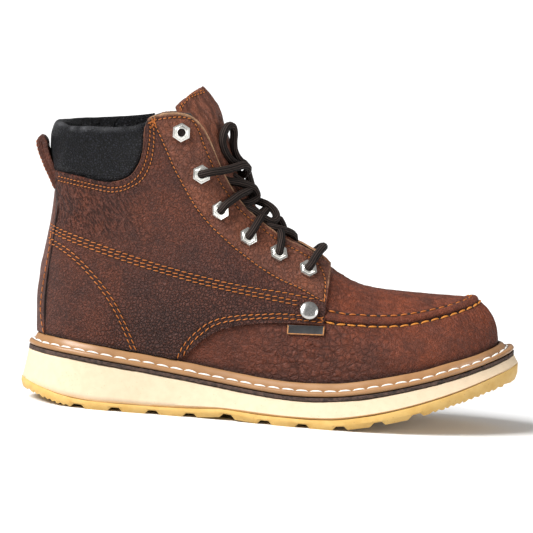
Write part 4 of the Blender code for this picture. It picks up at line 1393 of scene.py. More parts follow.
@dataclass(frozen=True)
class Thread:
    """How a seam is sewn: distance from stitch to stitch, their length and thickness."""

    pitch: float
    long: float
    thick: float
    lift: float = 0.2
    tint: Tint = Tint.ORANGE
    slant: float = 0.0


@dataclass(frozen=True)
class Shape:
    """A small form that is copied many times."""

    points: np.ndarray
    faces: list[tuple[int, ...]]


ROW_THREAD = Thread(4.15, 3.9, 0.7, slant=0.15)
EDGE_THREAD = Thread(3.0, 2.75, 0.68, slant=0.12)
SHORT_THREAD = Thread(2.6, 2.35, 0.64, slant=0.15)
SEAM_THREAD = Thread(6.75, 6.3, 1.35, 0.5, Tint.BOLD, 0.06)
INNER_THREAD = Thread(6.35, 4.9, 1.1, 0.4)
WELT_THREAD = Thread(8.7, 8.3, 1.45, 0.95, Tint.WHITE, 0.03)


class Sewing:
    """Lays stitches of one thread along lines, with a needle hole of painted shade behind each unless it is
    white.
    """

    least_gap: float = 0.4
    overlap: float = 0.36
    hole_share: float = 0.78
    hole_lift: float = 0.17

    def __init__(self, thread: Thread) -> None:
        """Models one stitch and one needle hole.

        Args:
            thread: The thread to sew with.
        """
        self.thread = thread
        self.stitch = self.one_stitch()
        self.hole = self.one_hole()

    def one_stitch(self) -> Shape:
        """Models a stitch along X from a sphere, blunt and with ends that dip.

        Returns:
            The stitch, from -1 to 1.
        """
        bpy.ops.object.select_all(action="DESELECT")
        bpy.ops.mesh.primitive_uv_sphere_add(segments=7, ring_count=7, radius=1.0,
                                             rotation=(0, math.pi / 2, 0))
        obj = bpy.context.object
        bpy.ops.object.transform_apply(location=False, rotation=True, scale=False)
        edit(obj)
        bpy.ops.mesh.select_all(action="SELECT")
        bpy.ops.transform.resize(value=(1, 1, 0.86))
        leave()
        shape = self.taken(obj)
        points = shape.points
        full = (1 - abs(points[:, 0]) ** 3.2) / np.sqrt(np.maximum(1 - points[:, 0] ** 2, 1e-4))
        points[:, 1:] *= np.clip(full, 0, 1.5)[:, None]
        points[:, 2] -= 0.95 * points[:, 0] ** 4
        return shape

    def one_hole(self) -> Shape:
        """Models a needle hole as a shallow dark dish, painted shade for the hole.

        Returns:
            The hole, from -1 to 1.
        """
        bpy.ops.object.select_all(action="DESELECT")
        bpy.ops.mesh.primitive_circle_add(vertices=8, radius=1.0, fill_type="NGON")
        obj = bpy.context.object
        edit(obj, "FACE")
        bpy.ops.mesh.select_all(action="SELECT")
        bpy.ops.mesh.inset(thickness=0.45, depth=0.12)
        leave()
        return self.taken(obj)

    def taken(self, obj: bpy.types.Object) -> Shape:
        """Reads a model of unit size and removes it from the scene.

        Args:
            obj: The model.

        Returns:
            Its points and faces.
        """
        shape = Shape(read(obj) * MM, [tuple(p.vertices) for p in obj.data.polygons])
        bpy.data.objects.remove(obj)
        return shape

    def sew(self, name: str, lines: list[Line], slot: str) -> None:
        """Sews along lines and dresses all the stitches as one piece.

        Args:
            name: The piece's name.
            lines: Lines with their normals.
            slot: The record's material slot of what is sewn.
        """
        thread = self.thread
        points: list[np.ndarray] = []
        faces: list[tuple[int, ...]] = []
        dark: list[bool] = []
        for line in lines:
            if len(line[0]) < 3:
                continue
            whole = run_of(line[0])[-1]
            count = max(1, round(whole / thread.pitch))
            pitch = whole / count
            long = thread.long * pitch / thread.pitch
            gap = max(pitch - long, self.least_gap) * 0.6 + self.overlap
            laid = [(self.stitch, pitch / 2, long / 2, thread.thick / 2, thread.lift)]
            if thread.tint is not Tint.WHITE:
                laid += [(self.hole, pitch, gap, thread.thick * self.hole_share, self.hole_lift)]
            for index in range(count):
                for shape, start, *size in laid:
                    base = sum(len(p) for p in points)
                    points.append(self.bent(shape, line, index * pitch + start, *size))
                    faces += [tuple(base + i for i in face) for face in shape.faces]
                    # The needle holes take the dark finish, which is painted shade.
                    dark += [shape is self.hole] * len(shape.faces)
        mesh = bpy.data.meshes.new(name)
        mesh.from_pydata((np.vstack(points) * MM).tolist(), [], faces)
        obj = new_object(name, mesh)
        smooth(obj)
        dress(obj, slot, getattr(finishes, thread.tint.value), finishes.hole)
        mesh.polygons.foreach_set("material_index", np.array(dark, np.int32))

    def bent(self, shape: Shape, track: Line, middle: float, long: float, wide: float,
             lift: float) -> np.ndarray:
        """Bends one shape along a line.

        Args:
            shape: The shape.
            track: The line with its normals.
            middle: Where the shape's middle lies along the line.
            long: Half its length.
            wide: Half its width.
            lift: How far its middle stands off the line.

        Returns:
            The points of the bent shape.
        """
        line, normals = track
        run, form = run_of(line), shape.points
        at = middle + form[:, 0] * long
        out = sample(at, run, normals)
        ahead = sample(at + 0.5, run, line) - sample(at - 0.5, run, line)
        ahead /= np.maximum(np.linalg.norm(ahead, axis=1), 1e-6)[:, None]
        out -= ahead * (out * ahead).sum(1)[:, None]
        out /= np.maximum(np.linalg.norm(out, axis=1), 1e-6)[:, None]
        across = np.cross(out, ahead) * (form[:, 1:2] * wide + form[:, 0:1] * long * self.thread.slant)
        return sample(at, run, line) + across + out * (form[:, 2:3] * wide + lift)


def paint(obj: bpy.types.Object, name: str, values: np.ndarray) -> None:
    """Writes one number for each point of a piece, for its finish.

    Args:
        obj: The piece.
        name: The attribute's name.
        values: The numbers.
    """
    mark = obj.data.attributes.get(name) or obj.data.attributes.new(name, "FLOAT", "POINT")
    mark.data.foreach_set("value", np.clip(values, 0, 1).astype(np.float32))


def add_painted_shade(obj: bpy.types.Object, values: np.ndarray) -> None:
    """Adds painted shade to the seam mark, keeping what a piece already has where it is stronger.

    Args:
        obj: The piece.
        values: One number for each point.
    """
    seam = np.zeros(len(values), np.float32)
    obj.data.attributes["seam"].data.foreach_get("value", seam)
    paint(obj, "seam", np.maximum(seam, values))


def press(obj: bpy.types.Object, lines: list[Line], depth: float, wide: float) -> None:
    """Presses seams into leather and marks painted shade along their grooves for the finish.

    Args:
        obj: The leather.
        lines: The seams.
        depth: How deep in millimetres.
        wide: Half the width of the dent.
    """
    points, normals = read(obj), read(obj, "normal")
    away = distance_to(points, np.vstack([line for line, _ in lines if len(line)]))
    puff = hump(away - wide * 2.3, wide * 1.2) * 0.35
    write(obj, points + normals * ((puff - hump(away, wide)) * depth)[:, None])
    # Painted shade along each groove.
    paint(obj, "seam", hump(away, 0.8))


def shade_foot(obj: bpy.types.Object, reach: float = 2.6) -> None:
    """Darkens leather where it goes into the welt.

    Args:
        obj: The leather.
        reach: How far up in millimetres.
    """
    above_welt, far = 75, 99.0
    welt = Skin(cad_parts["welt"])
    away = [np.linalg.norm(welt.nearest(p)[0] - p) if p[2] < above_welt else far for p in read(obj)]
    add_painted_shade(obj, hump(np.array(away), reach) * 0.85)


@dataclass(frozen=True)
class Crease:
    """One soft fold of the side view, from one place to another."""

    start: tuple[float, float]
    end: tuple[float, float]
    depth: float
    wide: float
    bow: float = 0.0

    def height(self, points: np.ndarray) -> np.ndarray:
        """Gives the fold's relief: a trough with a low bank on either side.

        Args:
            points: Places in millimetres.

        Returns:
            Heights in millimetres.
        """
        a, b = np.array(self.start), np.array(self.end)
        way = b - a
        long = np.linalg.norm(way)
        flat = points[:, [0, 2]] - a
        t = flat @ way / long**2
        off = flat @ np.array([-way[1], way[0]]) / long - self.bow * 4 * t * (1 - t)
        fade = np.clip(t * 4, 0, 1) * np.clip((1 - t) * 4, 0, 1)
        fade = fade * fade * (3 - 2 * fade)
        bank = hump(abs(off) - self.wide * 1.9, self.wide) * 0.5
        return (bank - hump(off, self.wide)) * self.depth * fade


# Upper


@dataclass
class Upper:
    """Vamp with its apron and moc seam, and the lining inside."""

    seam: Table = (
        (26.0, -39.0, 64.4), (31.4, -39.0, 64.0), (38.0, -39.0, 63.4), (45.0, -38.0, 62.9),
        (52.0, -36.9, 63.0), (60.2, -35.6, 63.0), (71.0, -33.6, 63.6), (83.0, -30.6, 65.4),
        (93.2, -27.2, 68.0), (102.7, -23.3, 70.8), (108.5, -20.0, 72.5), (112.9, -16.7, 74.0),
        (116.7, -13.1, 75.3), (119.6, -9.7, 76.4), (121.8, -6.4, 77.3), (124.4, -0.9, 78.6),
        (125.3, 5.7, 79.0), (124.4, 11.9, 78.6), (121.8, 17.7, 77.3), (117.5, 22.9, 75.2),
        (114.0, 25.6, 74.0), (110.2, 27.8, 72.5), (104.6, 29.9, 70.8), (94.0, 32.7, 68.0),
        (84.0, 34.4, 65.4), (71.5, 35.5, 63.6), (60.9, 35.9, 63.0), (52.4, 35.8, 63.0), (45.6, 35.6, 62.9),
        (38.9, 35.4, 63.4), (32.0, 35.0, 64.0), (26.6, 35.0, 64.4),
    )
    creases: tuple[Crease, ...] = (
        Crease((8.0, 55.0), (48.0, 44.0), 0.55, 1.5, -1.2),
        Crease((-4.0, 52.0), (40.0, 38.5), 0.5, 1.5, -1.0),
        Crease((14.0, 51.0), (58.0, 46.0), 0.4, 1.3, -1.6),
        Crease((-16.0, 47.0), (26.0, 33.5), 0.45, 1.5, -0.8),
        Crease((30.0, 58.5), (62.0, 52.5), 0.35, 1.2, -1.0),
        Crease((-28.0, 43.0), (6.0, 33.5), 0.35, 1.4, -0.5),
        Crease((36.0, 42.0), (64.0, 41.5), 0.28, 1.2, -1.0),
    )
    low_edge: Table = ((-60.0, 26.0), (-51.5, 34.4), (-45.2, 44.9), (-35.1, 52.5), (-19.2, 58.7),
                       (-7.1, 60.3), (8.9, 61.7), (31.0, 62.0))

    under_quarter: float = 13.0
    back_end: float = -66.0
    throat_end: float = 24.0
    fine: float = 0.6
    near_seam: float = 9.0
    roll: float = 1.45
    valley: float = 0.9
    shelf: float = 0.6
    gather: float = 0.16
    gather_pitch: float = 6.6
    thick_row: float = -0.4
    inner_row: float = 6.1

    def build(self) -> None:
        """Makes and dresses the lining and the vamp."""
        self.lining()
        self.vamp()

    def lining(self) -> None:
        """Makes the inside of the shell."""
        obj = layer_of("upper", "lining", Layer.INSIDE)
        subdivide(obj, 2)
        modify(obj, "SOLIDIFY", thickness=0.5 * MM, offset=-1.0)
        smooth(obj)
        dress(obj, "black_leather", finishes.lining, node="upper")

    def vamp(self) -> None:
        """Cuts, shapes, paints and sews the leather of toe, side and apron."""
        obj = layer_of("upper", "vamp", Layer.OUTSIDE)
        middle, _ = face_data(obj)
        edge = np.interp(middle[:, 0], *zip(*self.low_edge)) + self.under_quarter
        low = (middle[:, 0] > self.back_end) & (middle[:, 2] < edge)
        keep_faces(obj, low | (middle[:, 0] > self.throat_end))
        subdivide(obj, 3)
        rows = self.on_leather(Skin(obj))
        seam = curve_through(rows, self.fine)
        self.refine(obj, seam)
        points, normals = read(obj), read(obj, "normal")
        away = distance_to(points, seam)
        inside = self.inside_of(points, rows)
        height = self.relief(points, away, inside, self.run_along(points, seam))
        write(obj, points + normals * height[:, None])
        skin = Skin(obj)
        thick_row = skin.lay(self.shifted(rows, self.thick_row))
        inner_row = skin.lay(self.shifted(rows, self.inner_row))
        press(obj, [inner_row], 0.3, 0.8)
        # Painted shade in the valley of the moc seam and along the apron's row.
        fade = ramp(points[:, 0], 26, 32)
        valley = hump(away - 0.6 * inside, 0.75) * fade * 0.9
        paint(obj, "seam", np.maximum(valley, hump(distance_to(points, inner_row[0]), 0.8)))
        shade_foot(obj)
        self.paint_grain(obj, points, away, inside)
        skin = Skin(obj)
        smooth(obj)
        dress(obj, "brown_leather", finishes.vamp, node="upper")
        Sewing(SEAM_THREAD).sew("moc_seam_stitches", [skin.lay(thick_row[0])], "brown_leather")
        Sewing(INNER_THREAD).sew("apron_stitches", [skin.lay(inner_row[0])], "brown_leather")

    def relief(self, points: np.ndarray, away: np.ndarray, inside: np.ndarray,
               run: np.ndarray) -> np.ndarray:
        """Gives the moc seam's roll and valley, the side's folds and the wrinkles of throat and toe.

        Args:
            points: Places in millimetres.
            away: How far each is from the seam.
            inside: 1 on the apron, 0 outside.
            run: How far along the seam each lies.

        Returns:
            Heights in millimetres.
        """
        x, y, z = points.T
        fade = ramp(x, 26, 32)
        front = 1 - 0.8 * ramp(x, 110, 119)
        roll = hump(away - 3.3 * fade, 2.1) * self.roll * inside * front
        valley = hump(away, 0.9) * self.valley * (0.4 + 0.6 * front)
        shelf = hump(away - 6.9 * fade, 1.2) * self.shelf * inside * front
        gather = np.sin(run / self.gather_pitch * math.tau) * self.gather * hump(away - 2.2, 2.2)
        height = (roll - valley - shelf + gather) * fade
        folds = sum(c.height(points) for c in self.creases)
        height += folds * (1 - inside) * ramp(away, 0, 6)
        throat = inside * ramp(x, 76, 46) * ramp(away, 9, 15)
        short = np.sin(x * 1.9 + ripple(points, 16, 21) * 2.2) * 0.12
        long = np.sin(x * 0.8 + ripple(points, 20, 22) * 2) * 0.16
        height += (short + long) * throat
        nose = (1 - inside) * ramp(x, 100, 116) * ramp(z, 50, 56)
        around = np.arctan2(y - 5, x - 95) * 30
        height += np.sin(around * 2.6 + ripple(points, 12, 23) * 2.4) * 0.2 * nose * ramp(away, 0, 5)
        height += ripple(points, 17, 24) * 0.16 + ripple(points, 6, 25) * 0.05
        return height

    def paint_grain(self, obj: bpy.types.Object, points: np.ndarray, away: np.ndarray,
                    inside: np.ndarray) -> None:
        """Paints where the vamp has pebbles and folds and where it is darker, and keeps the seam's roll
        smooth.

        Args:
            obj: The vamp.
            points: Places in millimetres.
            away: How far each is from the seam.
            inside: 1 on the apron, 0 outside.
        """
        x, z = points[:, 0], points[:, 2]
        side = (1 - inside) * np.clip(1.2 - abs(x - 26) / 62, 0.12, 1)
        top = inside * ramp(x, 30, 60)
        by_throat = inside * ramp(x, 84, 44)
        smooth_roll = 1 - inside * np.clip(1.6 - away / 5, 0, 1) * ramp(x, 26, 32)
        paint(obj, "pebble", (side * 0.45 + by_throat * 0.22) * smooth_roll)
        paint(obj, "fold", (0.16 * side + 0.18 * top) * smooth_roll)
        # Darker towards the back of the side, the leather's own tone, and towards the bottom, painted
        # shade.
        paint(obj, "deep", (1 - inside) * (ramp(x, 82, 42) * 0.65 + ramp(z, 46, 20) * 0.35))

    def refine(self, obj: bpy.types.Object, seam: np.ndarray) -> None:
        """Splits the faces along the seam once more.

        Args:
            obj: The vamp.
            seam: The seam, finely drawn.
        """
        edit_faces(obj, distance_to(face_data(obj)[0], seam) < self.near_seam)
        bpy.ops.mesh.subdivide(number_cuts=1, smoothness=0.0)
        leave()

    def on_leather(self, skin: Skin) -> np.ndarray:
        """Brings the seam's places along the sides onto the leather.

        Args:
            skin: The leather.

        Returns:
            The places in millimetres.
        """
        rows = np.array(self.seam)
        for row in rows[rows[:, 0] < 100]:
            hit = skin.across(row[0], row[2], Side.OUTER if row[1] < 0 else Side.INNER)
            if hit is not None:
                rows[(rows == row).all(1)] = hit[0]
        return rows

    def inside_of(self, points: np.ndarray, rows: np.ndarray) -> np.ndarray:
        """Tells which points lie on the apron, inside the moc seam.

        Args:
            points: Places in millimetres.
            rows: The seam's places.

        Returns:
            1 inside, 0 outside.
        """
        ring = rows[:, :2]
        x, y = points[:, 0], points[:, 1]
        inside = np.zeros(len(points), bool)
        for a, b in zip(ring, np.roll(ring, -1, axis=0)):
            crosses = (a[1] > y) != (b[1] > y)
            at = a[0] + (y - a[1]) / np.where(b[1] == a[1], 1e-9, b[1] - a[1]) * (b[0] - a[0])
            inside ^= crosses & (x < at)
        return (inside & (points[:, 2] > 58)).astype(float)

    def run_along(self, points: np.ndarray, seam: np.ndarray) -> np.ndarray:
        """Tells how far along the seam each point lies.

        Args:
            points: Places in millimetres.
            seam: The seam, finely drawn.

        Returns:
            Distances in millimetres.
        """
        tree = tree_of(seam)
        return np.array([tree.find(p)[1] for p in points]) * self.fine

    def shifted(self, rows: np.ndarray, inward: float) -> np.ndarray:
        """Moves the seam line towards the middle of the apron, leaving out what the quarter covers.

        Args:
            rows: The seam's places.
            inward: How far in millimetres.

        Returns:
            The moved line.
        """
        along = np.gradient(rows, axis=0)
        inner = np.stack([-along[:, 1], along[:, 0], np.zeros(len(rows))], axis=1)
        inner /= np.linalg.norm(inner, axis=1)[:, None]
        share = (1 + 0.25 * ramp(rows[:, 0:1], 42, 34)) * inward
        moved = rows + inner * share + np.array([0, 0, 0.75]) * np.maximum(share, 0)
        return moved[rows[:, 0] > 30]


@dataclass
class Quarters:
    """Quarter leather of both sides with its rows of stitches, and the backstay."""

    stay_edge: Table = (
        (-82.0, 177.6), (-77.8, 170.5), (-73.2, 161.7), (-67.1, 149.9), (-60.5, 139.4), (-52.9, 128.0),
        (-43.7, 117.8), (-33.5, 109.1), (-20.1, 99.5), (-9.2, 92.4), (2.0, 86.9), (14.5, 82.4),
        (23.6, 78.1), (29.0, 75.6),
    )
    rows: tuple[tuple[Table, Thread], ...] = (
        (((-141.0, 108.0), (-134.6, 106.2), (-121.1, 102.8), (-102.3, 97.9), (-83.6, 93.2), (-65.1, 89.1),
          (-46.6, 85.6), (-28.2, 82.7), (-9.9, 80.7), (-0.7, 80.0), (8.5, 79.0), (23.7, 76.7)), ROW_THREAD),
        (((-140.6, 105.6), (-134.4, 104.0), (-121.0, 100.5), (-102.1, 95.8), (-83.4, 91.1), (-64.9, 86.8),
          (-46.5, 83.3), (-28.0, 80.3), (-9.7, 78.0), (8.7, 75.6), (13.6, 75.0)), ROW_THREAD),
        (((-140.8, 103.4), (-134.3, 101.9), (-120.7, 98.4), (-102.0, 93.6), (-83.3, 89.0), (-64.8, 84.9),
          (-46.3, 81.2), (-27.8, 78.3), (-9.5, 75.8), (8.8, 73.4), (13.8, 72.7)), ROW_THREAD),
        (((-57.2, 33.4), (-54.6, 40.6), (-49.8, 47.9), (-45.2, 52.7), (-40.2, 57.1), (-34.0, 60.4),
          (-27.1, 62.5), (-17.7, 64.4), (-9.2, 65.4), (-0.3, 66.5), (8.2, 67.0), (31.0, 66.2)), ROW_THREAD),
        (((-54.2, 33.2), (-51.6, 40.6), (-46.8, 47.1), (-42.4, 51.4), (-38.1, 55.2), (-32.3, 58.3),
          (-25.4, 60.3), (-15.5, 62.3), (-7.1, 63.5), (2.9, 64.3), (15.9, 64.3), (30.6, 63.6)), ROW_THREAD),
        (((-141.2, 99.6), (-135.6, 97.9), (-128.7, 95.0), (-118.3, 87.8), (-109.1, 79.6), (-98.6, 67.7),
          (-89.5, 52.4), (-80.6, 33.6)), ROW_THREAD),
        (((-140.8, 96.8), (-135.3, 95.2), (-130.2, 92.9), (-119.2, 85.7), (-109.1, 76.3), (-99.4, 64.6),
          (-91.4, 50.9), (-83.4, 33.8)), ROW_THREAD),
        (stay_edge, EDGE_THREAD),
        (((-82.0, 177.4), (-79.4, 178.1), (-72.5, 179.6), (-68.2, 180.4), (-64.2, 180.6), (-59.7, 180.0),
          (-57.0, 178.0), (-54.5, 174.4), (-49.6, 163.2), (-44.2, 152.7), (-38.8, 142.5), (-33.1, 135.0),
          (-25.5, 126.2), (-18.1, 120.3), (-3.6, 111.0), (11.1, 103.7), (25.0, 95.9), (28.8, 89.4),
          (29.6, 82.1), (29.4, 75.6)), EDGE_THREAD),
        (((-137.6, 138.0), (-124.3, 136.6), (-113.2, 135.4), (-103.6, 134.9), (-97.0, 136.2),
          (-92.9, 138.7), (-89.8, 141.8), (-86.9, 145.9), (-84.7, 151.7), (-83.1, 163.5), (-83.3, 177.0)),
          SHORT_THREAD),
        (((-137.6, 135.4), (-124.3, 134.2), (-113.2, 133.0), (-103.2, 132.4), (-97.0, 133.8),
          (-92.6, 136.1), (-87.0, 140.0), (-84.0, 144.5), (-81.9, 149.9), (-80.3, 162.1), (-81.2, 176.0)),
          SHORT_THREAD),
    )
    tacks: Table = (
        # x, z, half length, degrees
        (-82.2, 177.6, 2.4, 90), (-81.0, 178.0, 2.2, 70), (-83.2, 176.2, 2.0, 20), (-80.4, 176.0, 2.2, 110),
        (-82.0, 174.2, 1.8, 80), (29.6, 77.2, 2.2, 80), (29.2, 66.2, 2.0, 40), (28.6, 65.2, 2.0, 130),
    )
    scoop: Table = ((-141.0, 141.8), (-124.0, 140.2), (-105.0, 137.9), (-97.0, 139.2), (-93.4, 141.0),
                    (-89.6, 145.4), (-87.5, 150.6), (-86.0, 157.8), (-85.5, 165.8), (-85.8, 173.3),
                    (-86.8, 179.7))
    heel_row: Table = ((-139.9, 103.0), (-139.8, 97.1), (-140.4, 89.6), (-141.5, 80.3), (-142.2, 73.0),
                       (-142.9, 63.7), (-143.0, 56.0), (-141.8, 48.5), (-139.6, 40.4))
    gap: Table = ((-139.4, 134.6), (-137.7, 120.1), (-137.4, 105.2), (-137.1, 97.7), (-138.0, 92.5),
                  (-138.5, 86.0), (-139.4, 76.7), (-140.1, 64.3), (-140.3, 59.2), (-138.8, 49.2),
                  (-137.0, 39.2))
    thick: float = 1.35
    corner_back: float = 3.2
    stay_above: float = 76.0

    def build(self) -> None:
        """Makes and dresses both sides."""
        strip = self.backstay()
        for side in Side:
            self.quarter(side, strip)

    def quarter(self, side: Side, strip: bpy.types.Object) -> None:
        """Shapes one quarter and sews it.

        Args:
            side: The side of the boot.
            strip: The backstay, which a few rows reach over.
        """
        word = side.name.lower()
        obj = layer_of(f"quarter_{word}", f"quarter_leather_{word}", Layer.OUTSIDE)
        subdivide(obj, 4)
        points = read(obj)
        corner = ramp(points[:, 2], 116, 138) * ramp(points[:, 0], -122, -134)
        points[:, 0] -= self.corner_back * corner
        write(obj, points)
        skin = Skin(obj, strip)
        lines = [skin.trace(rows, side) for rows, _ in self.rows]
        points, normals = read(obj), read(obj, "normal")
        write(obj, points + normals * self.relief(points)[:, None])
        press(obj, lines, 0.34, 0.85)
        self.mark_edges(obj)
        self.paint_grain(obj)
        shade_foot(obj)
        skin = Skin(obj, strip)
        count = len(obj.data.polygons)
        modify(obj, "SOLIDIFY", thickness=self.thick * MM, offset=-1.0)
        smooth(obj, 55)
        dress(obj, "brown_leather", finishes.quarter, finishes.raw, finishes.lip, finishes.stay,
              node=f"quarter_{word}")
        self.sort_faces(obj, count)
        for name, thread in (("row", ROW_THREAD), ("edge", EDGE_THREAD), ("scoop", SHORT_THREAD)):
            own = [line for (line, _),
                   (_, used) in zip(lines, self.rows) if used == thread and len(line) > 2]
            chosen = [skin.lay(line) for line in own]
            if thread is EDGE_THREAD:
                chosen += [skin.trace(self.tack(*row), side, 0.4) for row in self.tacks]
            Sewing(thread).sew(f"{name}_stitches_{word}", chosen, "brown_leather")

    def tack(self, x: float, z: float, half: float, degrees: float) -> np.ndarray:
        """Gives the ends and the middle of one stitch of a bar tack.

        Args:
            x: Its middle along the boot.
            z: Its height.
            half: Half its length.
            degrees: Its slant.

        Returns:
            Three points of the side view.
        """
        way = np.array([math.cos(math.radians(degrees)), math.sin(math.radians(degrees))]) * half
        return np.array([(x, z) - way, (x, z), (x, z) + way])

    def relief(self, points: np.ndarray) -> np.ndarray:
        """Adds the soft unevenness, the wrinkles under the scoop and the rolled lip along it.

        Args:
            points: Places in millimetres.

        Returns:
            Heights in millimetres.
        """
        x, z = points[:, 0], points[:, 2]
        height = ripple(points, 24, 31) * 0.28 + ripple(points, 8, 32) * 0.09
        near = ramp(x, -92, -122) * ramp(z, 104, 112) * ramp(z, 133, 127)
        slant = x * 0.82 + z * 0.57
        wrinkle = np.sin(slant * 1.75 + ripple(points, 15, 33) * 2.0) * (0.6 + 0.4 * ripple(points, 10, 34))
        height += wrinkle * 0.22 * near
        front = ramp(x, -30, -10) * ramp(z, 80, 88)
        height += ripple(points, 4.2, 35, 20) * 0.12 * front
        edge = np.insert(curve_through(np.array(self.scoop), 0.6), 1, 0.0, axis=1)
        away = distance_to(points * (1, 0, 1), edge)
        return height + hump(away - 1.4, 1.3) * 0.55

    def on_top(self, x: np.ndarray, z: np.ndarray) -> np.ndarray:
        """Tells which places lie along the top and the throat, where the cut edge is pale.

        Args:
            x: Places along the boot.
            z: Their heights.

        Returns:
            One true or false for each place.
        """
        return (x > -84) & (z > 92 - np.clip(x, -100, 40) * 0.25)

    def mark_edges(self, obj: bpy.types.Object) -> None:
        """Marks the pale cut edge along the top and the throat, and painted shade in the gap at the
        backstay.

        Args:
            obj: The quarter, still an open sheet.
        """
        points = read(obj)
        uses: dict[tuple[int, int], int] = {}
        for face in obj.data.polygons:
            for key in face.edge_keys:
                uses[key] = uses.get(key, 0) + 1
        rim = points[sorted({i for key, count in uses.items() if count == 1 for i in key})]
        top = rim[self.on_top(rim[:, 0], rim[:, 2])]
        back = rim[(rim[:, 0] < -128) & (rim[:, 2] < 137)]
        share = np.clip(1.5 - distance_to(points, top) / 0.95, 0,
                        1) * np.maximum(ramp(points[:, 2], 84, 154), 0.3)
        paint(obj, "raw", share * (0.8 + 0.2 * ripple(points, 5, 36)))
        # Painted shade in the gap beside the backstay.
        add_painted_shade(obj, hump(distance_to(points, back), 1.0, 4))

    def paint_grain(self, obj: bpy.types.Object) -> None:
        """Paints where the quarter has pebbles and folds, and where it is darker: low in the middle of the
        side and at the front corner.

        Args:
            obj: The quarter.
        """
        x, _, z = read(obj).T
        low = ramp(z, 92, 52)
        corner = np.clip(1.3 - np.hypot(x + 24, z - 62) / 40, 0, 1)
        rear = ramp(x, -78, -108) * ramp(z, 100, 110)
        calm = ramp(x, -96, -110) * ramp(z, 100, 90)
        paint(obj, "pebble", (0.45 * low + 0.3 * corner) * (1 - calm))
        paint(obj, "fold", 0.9 * rear + 0.1 * corner)
        dark = np.clip(1 - np.hypot((x + 70) / 46, (z - 52) / 34), 0, 1)
        paint(obj, "deep", dark * 1.3 + 0.25 * corner)

    def sort_faces(self, obj: bpy.types.Object, count: int) -> None:
        """Gives the eyestay its own leather, and the cut edge a pale or a dark finish.

        Args:
            obj: The quarter.
            count: How many faces it had before it got its thickness.
        """
        body, pale, dark, stay = range(4)
        x, _, z = face_data(obj)[0].T
        edge_x, edge_z = np.array(self.stay_edge)[::-1].T
        index = np.where((z > self.stay_above) & (x > np.interp(z, edge_z, edge_x)), stay, body)
        rim = np.arange(len(x)) >= count * 2
        index[rim] = np.where(self.on_top(x, z)[rim], pale, dark)
        obj.data.polygons.foreach_set("material_index", index.astype(np.int32))

    def backstay(self) -> bpy.types.Object:
        """Shapes the strip down the heel and sews its edges.

        Returns:
            The strip.
        """
        obj = copy_of("backstay", "backstay_strip")
        crease(obj, 50, 0.8)
        subdivide(obj, 3)
        points, normals = read(obj), read(obj, "normal")
        write(obj, points + normals * (ripple(points, 12, 41) * 0.15)[:, None])
        gap = Skin(obj).trace(self.gap, Side.OUTER)[0]
        both = np.vstack([gap, gap * (1, -1, 1)])
        # Painted shade in the gap between the backstay and the quarters.
        paint(obj, "seam", hump(distance_to(points, both), 1.5, 4))
        smooth(obj, 55)
        dress(obj, "brown_leather", finishes.strap, node="backstay")
        skin = Skin(obj)
        rows = [skin.trace(self.heel_row, side) for side in Side]
        Sewing(ROW_THREAD).sew("backstay_stitches", rows, "brown_leather")
        return obj


